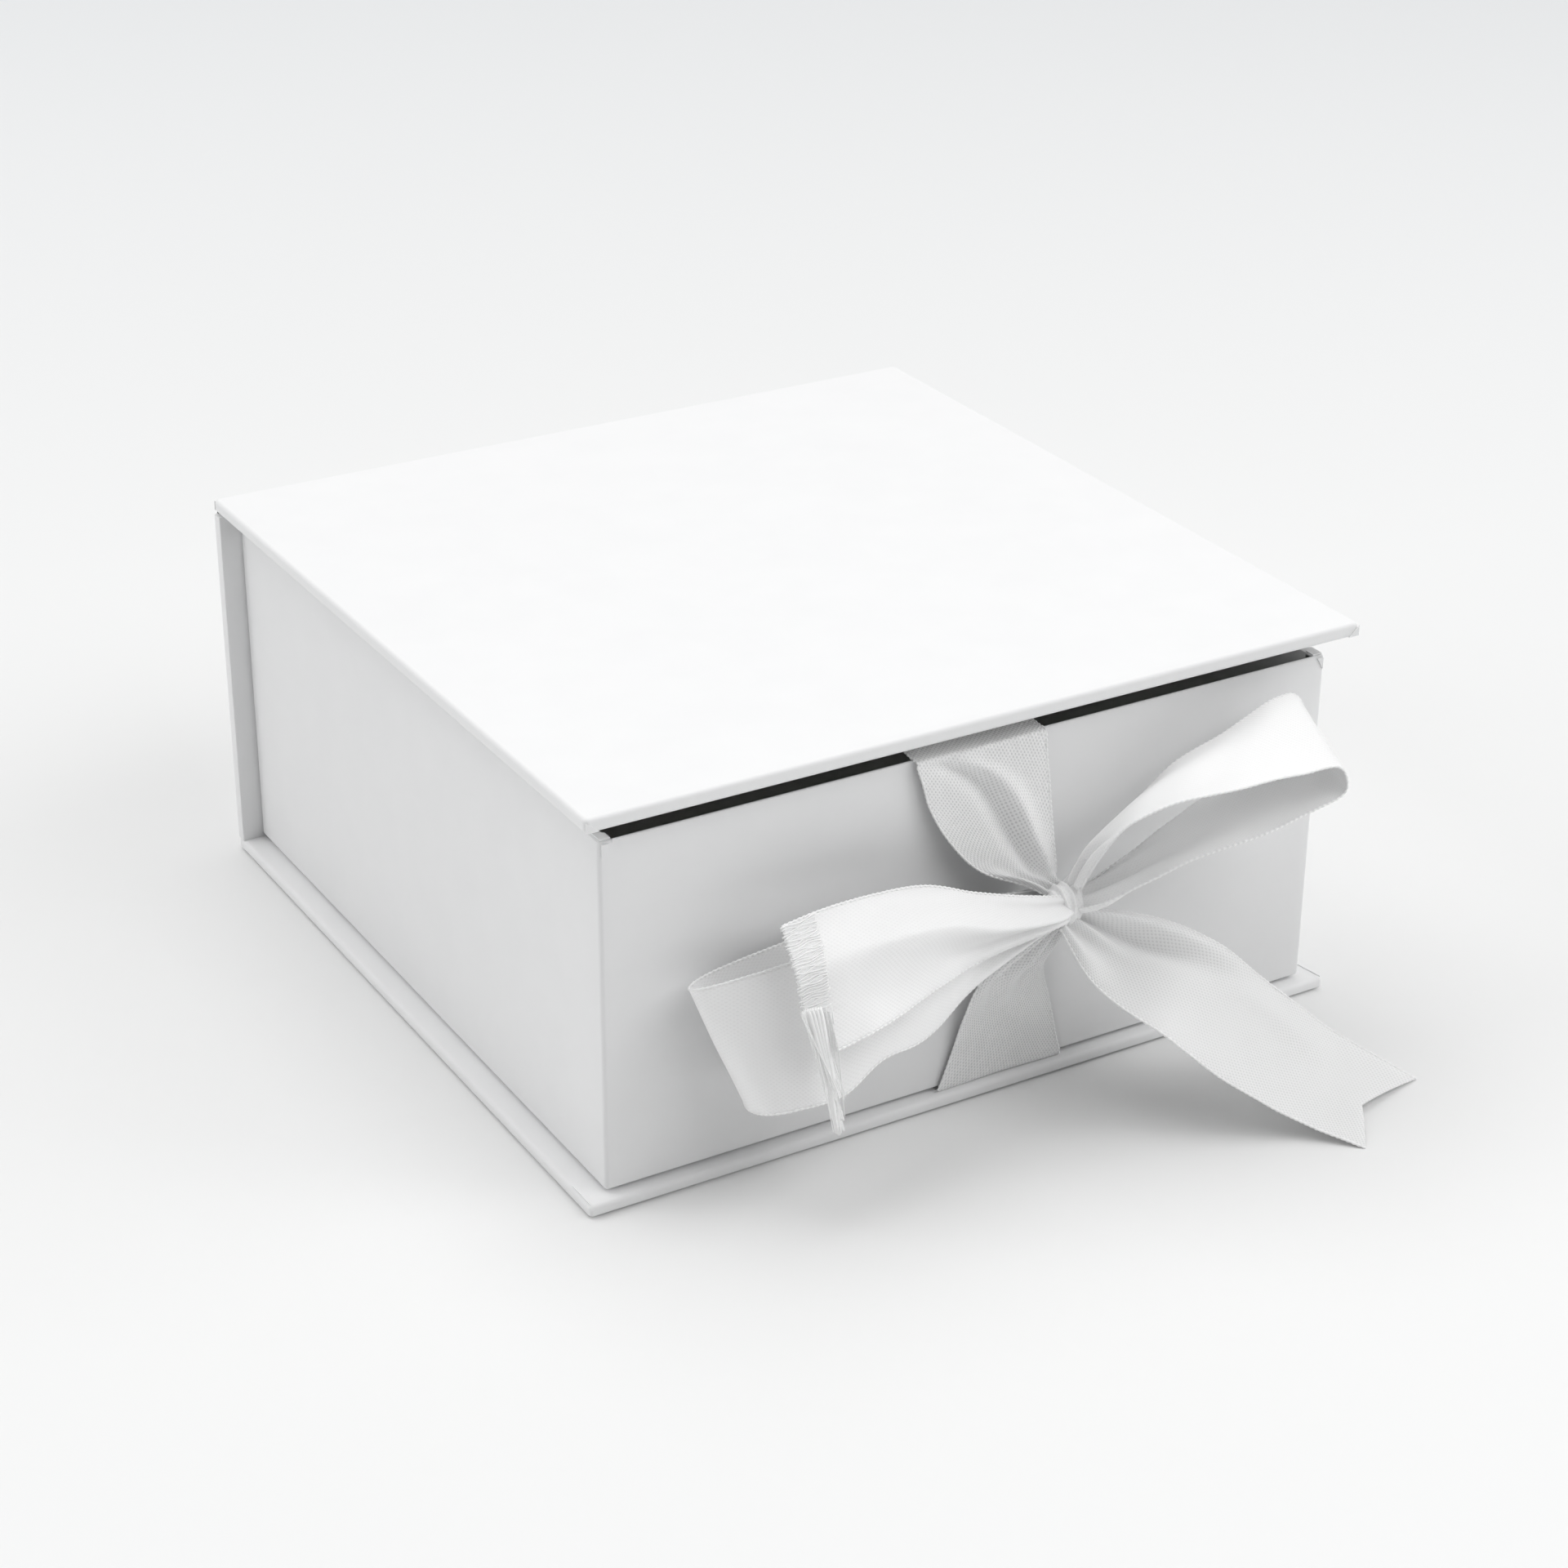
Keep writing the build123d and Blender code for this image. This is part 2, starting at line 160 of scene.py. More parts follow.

# Ribbon's look: pitches of its weave across and along, patches and threads per metre, the level of the weave up to
# which its colour is darkened as painted shade, and the height of its relief and the reach of light within it in
# metres
RIBBON_UV = "ribbon"
RIB_PITCH = (0.95, 0.8)
STEP_PITCH = (-0.62, 1.7)
WARP_PITCH = (0.31, 400.0)
PATCH_SCALE = 45.0
PATCH_DETAIL = 1.0
PATCH_SPREAD = 0.9
PATCH_LEAST = -0.1
TWILL_MIDDLE = 0.5
TWILL_SHADE_ENDS = 0.45
WEAVE_STRENGTH = 0.6
WEAVE_HEIGHT = 0.0001
SHEEN_WEIGHT = 0.4
SHEEN_ROUGHNESS = 0.4
GLOW_WEIGHT = 0.55
GLOW_RADIUS = (0.0004, 0.0004, 0.0004)
GLOW_SCALE = 1.0
THREAD_ROUGHNESS = 0.45
THREAD_SCALE = 900.0

# Meshes: what counts as one point or no face, sharp edges in degrees, and how finely curves are cut
TINY = 1e-12
WELD_NEAR = 0.002
WELD_FLAT = 0.001
PAPER_SHARP = 40.0
FLAT_SHARP = 20.0
CURVE_STEPS = 40
THREAD_SIDES = 6
STEEP = 0.9


def corners(node):
    """Lowest and highest corner of a node in millimetres."""
    low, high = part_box(node)
    return np.array(low) / MM, np.array(high) / MM


knot_low, knot_high = corners("bow_knot")
tray_low, tray_high = corners("tray_wrap")
lid_low, lid_high = corners("lid_wrap")
base_low, base_high = corners("base_wrap")
spine_low, spine_high = corners("spine_wrap")
tab_low, tab_high = corners("lid_ribbon_tab")
front_low, front_high = corners("tray_front_board")
liner_high = corners("tray_liner")[1]
joint_places = {joint["name"]: np.array(joint["pos_m"]) / MM for joint in frame["joints"]}
KNOT = (knot_low + knot_high) / 2
SLIT = joint_places["lid_ribbon_swing"]
HINGE = joint_places["lid_hinge"]


# Materials


def new_material(name, colour, roughness, specular=0.5):
    """A material with a principled shader, and its node tree."""
    material = bpy.data.materials.new(name)
    material.use_nodes = True
    tree = material.node_tree
    shader = tree.nodes["Principled BSDF"]
    shader.inputs["Base Color"].default_value = (*colour, 1.0)
    shader.inputs["Roughness"].default_value = roughness
    shader.inputs["Specular IOR Level"].default_value = specular
    return material, tree, shader


def math_node(tree, operation, *values):
    """A math node on sockets or numbers."""
    node = tree.nodes.new("ShaderNodeMath")
    node.operation = operation
    for socket, value in zip(node.inputs, values):
        if isinstance(value, (int, float)):
            socket.default_value = value
        else:
            tree.links.new(value, socket)
    return node.outputs[0]


def noise_node(tree, scale, detail=3.0, roughness=0.55):
    """A noise pattern in the object's own metres."""
    place = tree.nodes.new("ShaderNodeTexCoord")
    noise = tree.nodes.new("ShaderNodeTexNoise")
    noise.inputs["Scale"].default_value = scale
    noise.inputs["Detail"].default_value = detail
    noise.inputs["Roughness"].default_value = roughness
    tree.links.new(place.outputs["Object"], noise.inputs["Vector"])
    return noise.outputs["Fac"]


def ramp_node(tree, factor, dark, light, low=0.3, high=0.7):
    """A colour between two, following a factor."""
    ramp = tree.nodes.new("ShaderNodeValToRGB")
    ramp.color_ramp.elements[0].position = low
    ramp.color_ramp.elements[0].color = (*dark, 1.0)
    ramp.color_ramp.elements[1].position = high
    ramp.color_ramp.elements[1].color = (*light, 1.0)
    tree.links.new(factor, ramp.inputs["Fac"])
    return ramp.outputs["Color"]


def add_bump(tree, shader, height, strength, distance):
    """A bump of the height pattern, distance in metres."""
    bump = tree.nodes.new("ShaderNodeBump")
    bump.inputs["Strength"].default_value = strength
    bump.inputs["Distance"].default_value = distance
    tree.links.new(height, bump.inputs["Height"])
    tree.links.new(bump.outputs["Normal"], shader.inputs["Normal"])


def paper_material(name, light, dark, roughness, fibre, depth):
    """Paper: a faint mottle in colour and gloss, and a fine fibre in relief."""
    material, tree, shader = new_material(name, light, roughness, PAPER_SPECULAR)
    mottle = noise_node(tree, MOTTLE_SCALE, PAPER_DETAIL)
    tree.links.new(ramp_node(tree, mottle, dark, light), shader.inputs["Base Color"])
    grain = noise_node(tree, GLOSS_SCALE)
    gloss = math_node(tree, "MULTIPLY_ADD", grain, GLOSS_SPREAD, roughness - GLOSS_SPREAD / 2)
    tree.links.new(gloss, shader.inputs["Roughness"])
    fibres = noise_node(tree, fibre, PAPER_DETAIL, FIBRE_ROUGHNESS)
    add_bump(tree, shader, fibres, FIBRE_STRENGTH, depth)
    return material


def ripple(tree, across, along, pitch):
    """A sine over the ribbon, with its pitch across and along in millimetres."""
    phase_across = math_node(tree, "MULTIPLY", across, 2 * math.pi / pitch[0])
    phase_along = math_node(tree, "MULTIPLY", along, 2 * math.pi / pitch[1])
    return math_node(tree, "SINE", math_node(tree, "ADD", phase_across, phase_along))


def ribbon_material(name, light, dark, roughness, rib_depth, warp_depth):
    """White ribbon: diagonal twill ribs, fine warp threads along it and a soft gloss; its colour darkens in the
    ribs' troughs as painted shade.
    """
    material, tree, shader = new_material(name, light, roughness)
    uv = tree.nodes.new("ShaderNodeUVMap")
    uv.uv_map = RIBBON_UV
    split = tree.nodes.new("ShaderNodeSeparateXYZ")
    tree.links.new(uv.outputs["UV"], split.inputs["Vector"])
    across, along = split.outputs["X"], split.outputs["Y"]
    ribs = ripple(tree, across, along, RIB_PITCH)
    steps = ripple(tree, across, along, STEP_PITCH)
    warp = ripple(tree, across, along, WARP_PITCH)
    cloud = noise_node(tree, PATCH_SCALE, PATCH_DETAIL)
    patches = math_node(tree, "MULTIPLY_ADD", cloud, PATCH_SPREAD, PATCH_LEAST)
    twill = math_node(tree, "MULTIPLY", math_node(tree, "ADD", ribs, steps), patches)
    twill = math_node(tree, "ADD", twill, TWILL_MIDDLE)
    # painted shade: the colour falls to the dark one in the troughs of the twill ribs, where the weave's shade
    # would fall
    tree.links.new(ramp_node(tree, twill, dark, light, 0.0, TWILL_SHADE_ENDS), shader.inputs["Base Color"])
    rib_height = math_node(tree, "MULTIPLY", twill, rib_depth)
    height = math_node(tree, "MULTIPLY_ADD", warp, warp_depth, rib_height)
    add_bump(tree, shader, height, WEAVE_STRENGTH, WEAVE_HEIGHT)
    shader.inputs["Sheen Weight"].default_value = SHEEN_WEIGHT
    shader.inputs["Sheen Roughness"].default_value = SHEEN_ROUGHNESS
    shader.inputs["Subsurface Weight"].default_value = GLOW_WEIGHT
    shader.inputs["Subsurface Radius"].default_value = GLOW_RADIUS
    shader.inputs["Subsurface Scale"].default_value = GLOW_SCALE
    return material


def board_material(name, light, dark):
    """Raw board: flecks of recycled fibre."""
    material, tree, shader = new_material(name, light, BOARD_ROUGHNESS, BOARD_SPECULAR)
    flecks = noise_node(tree, FLECK_SCALE, FLECK_DETAIL, FLECK_ROUGHNESS)
    tree.links.new(ramp_node(tree, flecks, dark, light, *FLECK_RANGE), shader.inputs["Base Color"])
    add_bump(tree, shader, flecks, FLECK_STRENGTH, FLECK_HEIGHT)
    return material


def thread_material(name, light, dark):
    """Loose ribbon threads: glossy fibre, lighter and darker by turns."""
    material, tree, shader = new_material(name, light, THREAD_ROUGHNESS)
    tone = noise_node(tree, THREAD_SCALE)
    tree.links.new(ramp_node(tree, tone, dark, light), shader.inputs["Base Color"])
    return material


# Each has a light and a dark colour; a ribbon's dark colour is painted shade in its weave's troughs. Paper adds
# roughness, fibres per metre and their height in metres, and ribbon adds roughness and the shares of ribs and of
# warp threads in its relief.
WRAP = paper_material("wrap_paper", (0.875, 0.877, 0.88), (0.86, 0.862, 0.866), 0.6, 2600.0, 0.00003)
LINING = paper_material("lining_paper", (0.84, 0.84, 0.83), (0.815, 0.815, 0.805), 0.8, 1800.0, 0.00006)
GREYBOARD = board_material("greyboard", (0.46, 0.44, 0.41), (0.36, 0.34, 0.31))
STAY_TAPE = board_material("stay_tape", (0.70, 0.60, 0.45), (0.62, 0.52, 0.38))
SATIN = ribbon_material("ribbon_satin", (0.98, 0.98, 0.98), (0.93, 0.93, 0.932), 0.36, 0.16, 0.08)
TWILL = ribbon_material("ribbon_twill", (0.98, 0.98, 0.98), (0.75, 0.75, 0.755), 0.46, 0.8, 0.08)
# painted shade: the ribbon's matt back is given a greyer tone because the right tail faces away from the light
MATT_AND_PAINTED_SHADE = ribbon_material("ribbon_back_painted_shade", (0.87, 0.87, 0.87), (0.74, 0.74, 0.742), 0.5, 0.4, 0.08)
THREAD = thread_material("ribbon_thread", (0.98, 0.98, 0.98), (0.94, 0.94, 0.94))

NODE_MATERIALS = {
    "wrap_paper": WRAP,
    "lining_paper": LINING,
    "greyboard": GREYBOARD,
    "stay_tape": STAY_TAPE,
    "ribbon": SATIN,
}
for part in frame["record"]["subparts"]:
    node = frame["nodes"][part["node"]]
    node.data.materials.clear()
    node.data.materials.append(NODE_MATERIALS[part["material_slot"]])


# Mesh helpers


def make_object(name, points, faces, materials, face_materials=None, uv=None):
    """A smooth mesh object from points in millimetres, with uv by point."""
    mesh = bpy.data.meshes.new(name)
    mesh.from_pydata((np.asarray(points) * MM).tolist(), [], [[int(i) for i in face] for face in faces])
    for material in materials:
        mesh.materials.append(material)
    if face_materials is not None:
        mesh.polygons.foreach_set("material_index", np.asarray(face_materials, dtype=np.int32))
    mesh.polygons.foreach_set("use_smooth", [True] * len(mesh.polygons))
    if uv is not None:
        layer = mesh.uv_layers.new(name=RIBBON_UV)
        owners = np.zeros(len(mesh.loops), dtype=np.int32)
        mesh.loops.foreach_get("vertex_index", owners)
        layer.data.foreach_set("uv", np.asarray(uv)[owners].astype(np.float32).ravel())
    mesh.update()
    obj = bpy.data.objects.new(name, mesh)
    bpy.context.scene.collection.objects.link(obj)
    return obj


def weld(obj, sharp_degrees, turn_out=True):
    """Joins points that fall together, turns faces out, and shades edges beyond an angle as sharp."""
    work = bmesh.new()
    work.from_mesh(obj.data)
    bmesh.ops.remove_doubles(work, verts=work.verts, dist=WELD_NEAR * MM)
    bmesh.ops.dissolve_degenerate(work, edges=work.edges, dist=WELD_FLAT * MM)
    if turn_out:
        bmesh.ops.recalc_face_normals(work, faces=work.faces)
    sharp = math.radians(sharp_degrees)
    for edge in work.edges:
        edge.smooth = not edge.is_manifold or edge.calc_face_angle(0.0) < sharp
    work.to_mesh(obj.data)
    work.free()


def stand_for(piece, body, node):
    """Lets a piece ride on a body and stand for its node, which it hides."""
    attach(piece, body)
    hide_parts(node)


def unit(vectors):
    """Vectors of length one."""
    return vectors / np.maximum(np.linalg.norm(vectors, axis=-1, keepdims=True), TINY)


def gentle(share):
    """A share from 0 to 1 that starts and ends slowly."""
    return share * share * (3 - 2 * share)


def grid_faces(rows, columns, first=0, closed=False):
    """Quads over a grid of points. A closed grid joins its last column to its first."""
    across = np.arange(columns if closed else columns - 1)
    row, column = np.meshgrid(np.arange(rows - 1), across, indexing="ij")
    row, column = row.ravel() * columns, column.ravel()
    beside = (column + 1) % columns
    below = row + columns
    return first + np.stack([row + column, row + beside, below + beside, below + column], axis=1)


def sheet_faces(rows, columns):
    """Faces of a thin closed sheet: its first grid of points, its second, and the rim between them."""
    count = rows * columns
    index = np.arange(count).reshape(rows, columns)
    loop = np.concatenate([index[0, :-1], index[:-1, -1], index[-1, :0:-1], index[:0:-1, 0]])
    after = np.roll(loop, -1)
    rim = np.stack([after, after + count, loop + count, loop], axis=1)
    return grid_faces(rows, columns)[:, ::-1], grid_faces(rows, columns, count), rim


def walk(path):
    """Distance walked along a path at each of its points."""
    return np.concatenate([[0.0], np.cumsum(np.linalg.norm(np.diff(path, axis=0), axis=1))])


def smooth_rows(stations, step):
    """Rows on smooth curves through stations, evenly spaced along the first three columns."""
    knots = np.asarray(stations, dtype=float)
    knots = np.concatenate([2 * knots[:1] - knots[1:2], knots, 2 * knots[-1:] - knots[-2:-1]])
    gaps = np.sqrt(np.maximum(np.linalg.norm(np.diff(knots[:, :3], axis=0), axis=1), TINY))
    times = np.concatenate([[0.0], np.cumsum(gaps)])
    spans = []
    for i in range(1, len(knots) - 2):
        t0, t1, t2, t3 = times[i - 1 : i + 3]
        p0, p1, p2, p3 = knots[i - 1 : i + 3]
        t = np.linspace(t1, t2, CURVE_STEPS, endpoint=i == len(knots) - 3)[:, None]
        a1 = (t1 - t) / (t1 - t0) * p0 + (t - t0) / (t1 - t0) * p1
        a2 = (t2 - t) / (t2 - t1) * p1 + (t - t1) / (t2 - t1) * p2
        a3 = (t3 - t) / (t3 - t2) * p2 + (t - t2) / (t3 - t2) * p3
        b1 = (t2 - t) / (t2 - t0) * a1 + (t - t0) / (t2 - t0) * a2
        b2 = (t3 - t) / (t3 - t1) * a2 + (t - t1) / (t3 - t1) * a3
        spans.append((t2 - t) / (t2 - t1) * b1 + (t - t1) / (t2 - t1) * b2)
    fine = np.concatenate(spans)
    walked = walk(fine[:, :3])
    count = max(int(round(walked[-1] / step)), 2)
    spots = np.linspace(0.0, walked[-1], count + 1)
    return np.stack([np.interp(spots, walked, column) for column in fine.T], axis=1), spots


def tube(path, radii, sides, first=0):
    """Points and faces of a tube along a path, with its ends closed."""
    run = unit(np.gradient(path, axis=0))
    steep = np.abs(run[:, 2:3]) > STEEP
    guide = np.where(steep, np.array([[1.0, 0.0, 0.0]]), np.array([[0.0, 0.0, 1.0]]))
    one = unit(np.cross(run, guide))
    two = np.cross(run, one)
    turn = np.linspace(0.0, 2 * math.pi, sides, endpoint=False)[None, :, None]
    ring = one[:, None, :] * np.cos(turn) + two[:, None, :] * np.sin(turn)
    points = (path[:, None, :] + ring * np.asarray(radii)[:, None, None]).reshape(-1, 3)
    last = first + (len(path) - 1) * sides
    faces = grid_faces(len(path), sides, first, closed=True).tolist()
    faces.append(list(range(first + sides - 1, first - 1, -1)))
    faces.append(list(range(last, last + sides)))
    return points, faces


def tubes_object(name, paths, material, sides):
    """One object of many tubes, each a path with its radii."""
    points, faces, count = [], [], 0
    for path, radii in paths:
        tube_points, tube_faces = tube(path, radii, sides, count)
        points.append(tube_points)
        faces += tube_faces
        count += len(tube_points)
    return make_object(name, np.concatenate(points), faces, [material])


# Ribbons


def fold_depth(rows, along, u, pleats, fold_width):
    """How far each point stands out: a ridge, a dip beside it, pleats and small wrinkles."""
    spread, fold, ridge, dip = rows[:, 6:10].T[..., None]
    u = u[None, :]
    s = along[:, None]
    broad = fold * np.exp(-(((u - ridge) / fold_width) ** 2))
    broad = broad - dip * np.exp(-(((u - ridge + DIP_APART * fold_width) / fold_width) ** 2))
    wave = np.sin(2 * math.pi * PLEAT_WAVES * (u / 2 + PLEAT_SKEW * u * u) + PLEAT_PHASE)
    spare = np.sqrt(np.maximum(1.0 / np.maximum(spread, SPREAD_LEAST) ** 2 - 1.0, 0.0))
    deep = np.minimum(RIBBON_WIDTH * spread * spare / (PLEAT_SLOPE * PLEAT_WAVES), PLEAT_DEEPEST)
    deep = deep * pleats * gentle(np.clip((PLEAT_ENDS - spread) / PLEAT_FADE, 0.0, 1.0))
    wrinkle = 0.0
    for share, phase, waves_across, waves_along in WRINKLES:
        wrinkle = wrinkle + share * np.sin(phase + waves_across * u + waves_along * s)
    return broad + deep * wave + WRINKLE * wrinkle


def ribbon_surface(stations, pleats, fold_width, cut):
    """Points of a ribbon's middle surface, with its normals and its place across and along."""
    rows, along = smooth_rows(stations, RIBBON_STEP)
    u = np.linspace(-1.0, 1.0, RIBBON_COLUMNS + 1)
    depth = fold_depth(rows, along, u, pleats, fold_width)
    spots = np.repeat(along[:, None], len(u), axis=1)
    if cut:
        back = np.interp(u, *np.array(cut).T)
        start = along[-1] - CUT_REACH * max(back)
        share = np.clip((spots - start) / (along[-1] - start), 0.0, 1.0)
        spots = spots - share * back[None, :]
    columns = [np.interp(spots, along, value) for value in rows[:, :7].T]
    centre = np.stack(columns[0:3], axis=-1)
    across = unit(np.stack(columns[3:6], axis=-1))
    run = np.gradient(rows[:, :3], along, axis=0)
    normal = unit(np.cross(run[:, None, :], across))
    width = RIBBON_WIDTH / 2 * columns[6] * u[None, :]
    points = centre + across * width[..., None] + normal * depth[..., None]
    facing = unit(np.cross(np.gradient(points, axis=0), np.gradient(points, axis=1)))
    place = np.stack([np.repeat(u[None, :] * RIBBON_WIDTH / 2, len(along), axis=0), spots], axis=-1)
    return points, facing, place


def ribbon_piece(name, surface, face, back):
    """A closed thin ribbon from its middle surface, with a material on each side."""
    points, facing, place = surface
    half = facing * RIBBON_THICK / 2
    sides = np.concatenate([(points + half).reshape(-1, 3), (points - half).reshape(-1, 3)])
    top, bottom, rim = sheet_faces(*points.shape[:2])
    marks = np.concatenate([np.zeros(len(top)), np.ones(len(bottom)), np.zeros(len(rim))])
    uv = np.concatenate([place.reshape(-1, 2)] * 2)
    return make_object(name, sides, np.concatenate([top, bottom, rim]), [face, back], marks, uv)


def selvedge_piece(name, surface):
    """The corded edges of a ribbon: a beaded cord along each side."""
    points = surface[0]
    cords = []
    for edge in (points[:, 0], points[:, -1]):
        walked = walk(edge)
        spots = np.linspace(0.0, walked[-1], int(walked[-1] / (SELVEDGE_PITCH / BEAD_STEPS)) + 2)
        path = np.stack([np.interp(spots, walked, axis) for axis in edge.T], axis=1)
        beads = np.sin(2 * math.pi * spots / SELVEDGE_PITCH)
        cords.append((path, SELVEDGE_RADIUS + SELVEDGE_BEAD * beads))
    return tubes_object(name, cords, THREAD, THREAD_SIDES)


def flat_stations(start, end, side):
    """Stations of a ribbon that lies flat from one place to another."""
    middle = (np.array(start) + np.array(end)) / 2
    return [(*place, side, 0, 0, 1.0, 0, 0, 0) for place in (start, middle)]


def from_knot(stations):
    """Stations whose centres are measured from the middle of the knot."""
    return [(*(KNOT + np.array(at)), *across, spread, *fold) for at, across, spread, fold in stations]


def hanging(start, side, stations):
    """Strap stations from where it leaves the wall to the knot, as shares of that way."""
    start = np.array(start)
    way = KNOT - start
    return [
        (*(start + way * np.array(share)), side, 0, slant, spread, *fold)
        for share, slant, spread, fold in stations
    ]


# Each station: middle of the ribbon from the knot, direction across it, share of its width,
# and its fold: height of the ridge, the ridge's place across from -1 to 1, depth of the dip
LEFT_TAIL = from_knot((
    ((-1.5, -2.5, 0.5), (0.2, -0.2, -1), 0.20, (1.6, 0.0, 0.0)),
    ((-4.5, -3.0, 1.0), (0.25, -0.15, -1), 0.25, (3.2, 0.0, 0.0)),
    ((-19.5, -4.0, 3.0), (0, -0.25, -1), 0.46, (4.8, -0.1, 0.0)),
    ((-30.0, -6.0, 5.0), (-0.1, -0.5, -1), 0.66, (4.2, -0.15, 0.0)),
    ((-41.0, -8.5, 5.5), (-0.1, -0.65, -1), 0.80, (2.7, -0.2, 0.0)),
    ((-50.5, -10.2, 5.5), (-0.05, -0.6, -1), 0.86, (1.4, -0.2, 0.0)),
    ((-57.8, -10.5, 4.8), (0.0, -0.5, -1), 0.86, (0.8, -0.2, 0.0)),
))
LEFT_LOOP = from_knot((
    ((-2.0, -0.5, -0.5), (0.2, 0, -1), 0.20, (0.0, 0.3, 0.0)),
    ((-17.5, -2.0, -2.5), (0, -0.15, -1), 0.45, (0.6, 0.3, 0.3)),
    ((-33.0, -5.0, -4.0), (0.1, -0.28, -1), 0.74, (0.9, 0.45, 0.5)),
    ((-41.5, -6.0, -3.8), (0.05, -0.36, -1), 0.78, (0.6, 0.6, 0.5)),
    ((-49.0, -6.5, -5.5), (0, -0.43, -1), 0.92, (0.3, 0.4, 0.2)),
    ((-58.5, -6.2, -6.0), (0.12, -0.45, -1), 0.92, (0.1, 0.4, 0.0)),
    ((-65.0, -4.0, -7.0), (0.28, -0.42, -1), 0.92, (0.0, 0.4, 0.0)),
    ((-66.2, -0.5, -8.2), (0.34, -0.3, -1), 0.92, (0.0, 0.4, 0.0)),
    ((-63.5, 3.6, -9.0), (0.32, -0.15, -1), 0.92, (0.0, 0.4, 0.0)),
    ((-55.0, 6.2, -9.0), (0.3, -0.05, -1), 0.95, (0.0, 0.4, 0.0)),
    ((-30.0, 6.2, -6.0), (0.15, 0, -1), 0.85, (0.3, 0.3, 0.2)),
    ((-14.0, 4.8, -2.5), (0, 0, -1), 0.40, (0.3, 0.3, 0.2)),
    ((-2.0, 2.5, 0.2), (0.1, 0, -1), 0.18, (0.0, 0.3, 0.0)),
))
RIGHT_LOOP = from_knot((
    ((1.4, -0.5, 2.9), (0, 1, -0.3), 0.18, (0.0, 0.0, 0.0)),
    ((3.5, -1.0, 5.5), (0.3, 1, -0.6), 0.26, (0.8, 0.0, 0.0)),
    ((7.3, -3.5, 13.4), (0.4, 0.8, -0.5), 0.67, (1.3, 0.1, 0.3)),
    ((15.8, -7.0, 21.1), (0.5, 0.8, -0.22), 0.89, (1.1, 0.2, 0.3)),
    ((26.2, -8.5, 23.9), (0.56, 0.83, -0.05), 0.95, (0.8, 0.3, 0.2)),
    ((38.0, -8.5, 25.5), (0.46, 0.88, 0.1), 0.95, (0.4, 0.3, 0.0)),
    ((44.7, -8.5, 25.0), (0.33, 0.94, 0.11), 0.92, (0.0, 0.3, 0.0)),
    ((46.5, -8.5, 20.6), (0.33, 0.94, 0.12), 0.92, (0.0, 0.2, 0.0)),
    ((41.5, -8.5, 16.2), (0.36, 0.93, -0.08), 0.92, (0.2, 0.1, 0.0)),
    ((30.0, -8.0, 13.6), (0.39, 0.92, -0.05), 0.88, (0.6, 0.0, 0.2)),
    ((18.2, -6.0, 9.2), (0.47, 0.88, -0.1), 0.73, (1.0, 0.0, 0.3)),
    ((6.0, -2.2, 2.0), (0.45, 0.9, -0.05), 0.38, (0.6, 0.0, 0.0)),
    ((2.0, -0.6, 0.1), (0.3, 1, 0), 0.20, (0.0, 0.0, 0.0)),
))
RIGHT_TAIL = from_knot((
    ((0.5, -1.0, -2.3), (0.8, 0.3, 0.4), 0.20, (0.8, 0.8, 0.3)),
    ((8.3, -5.0, -8.7), (0.83, 0.31, 0.45), 0.62, (1.9, 0.76, 1.9)),
    ((16.2, -13.9, -13.8), (0.81, 0.48, 0.35), 0.85, (1.1, 0.9, 0.6)),
    ((26.0, -18.5, -22.8), (0.77, 0.54, 0.31), 0.92, (0.3, 1.0, -0.6)),
    ((39.3, -24.0, -33.5), (0.76, 0.63, 0.15), 1.0, (0.0, 0.8, -0.3)),
    ((47.7, -32.5, -38.3), (0.86, 0.51, 0), 1.0, (0.0, 0.8, 0.0)),
))

# How far an end is cut back, by its place across from -1 to 1
SWALLOW_TAIL = ((-1.0, 0.0), (-0.15, 5.0), (1.0, 0.0))
FRAYED_CORNER = ((-1.0, 0.0), (0.33, 0.4), (0.42, 4.6), (1.0, 4.8))

rim_top = tray_high[2] + STRAP_CLEAR
strap_face = tray_low[1] - STRAP_PROUD
over_rim = (SLIT[0], tray_low[1] + RIM_ROUND, rim_top)
to_crease, crease, from_crease = [(SLIT[0], strap_face + behind, rim_top - below) for behind, below in CREASE]
LID_STRAP = flat_stations(SLIT, over_rim, 1) + [
    (*over_rim, 1, 0, 0, 1.0, 0, -0.1, 0),
    (*to_crease, 1, 0, 0, 1.0, 0, -0.1, 0),
    (*crease, 1, 0, 0, 1.0, 0.1, -0.1, 0),
] + hanging(from_crease, 1, (
    ((0.0, 0.0, 0.0), 0.0, 1.0, (0.4, -0.3, 0.3)),
    ((0.06, 0.02, 0.14), -0.03, 0.97, (1.2, 0.08, 1.2)),
    ((0.13, 0.07, 0.31), -0.06, 0.94, (1.7, 0.36, 1.5)),
    ((0.28, 0.21, 0.58), -0.18, 0.83, (1.8, 0.57, 1.5)),
    ((0.49, 0.44, 0.78), -0.20, 0.61, (1.5, 0.66, 1.1)),
    ((0.73, 0.68, 0.86), -0.10, 0.27, (0.6, 0.4, 0.3)),
    ((0.96, 0.95, 0.93), 0.0, 0.18, (0.0, 0.0, 0.0)),
))
ledge = base_high[2] + RIBBON_THICK / 2
under_tray = (BASE_STRAP_X, tray_low[1] + BASE_TAB, ledge)
from_tray = (BASE_STRAP_X, tray_low[1], ledge)
up_wall = (BASE_STRAP_X, tray_low[1] - BASE_TURN, ledge + BASE_TURN)
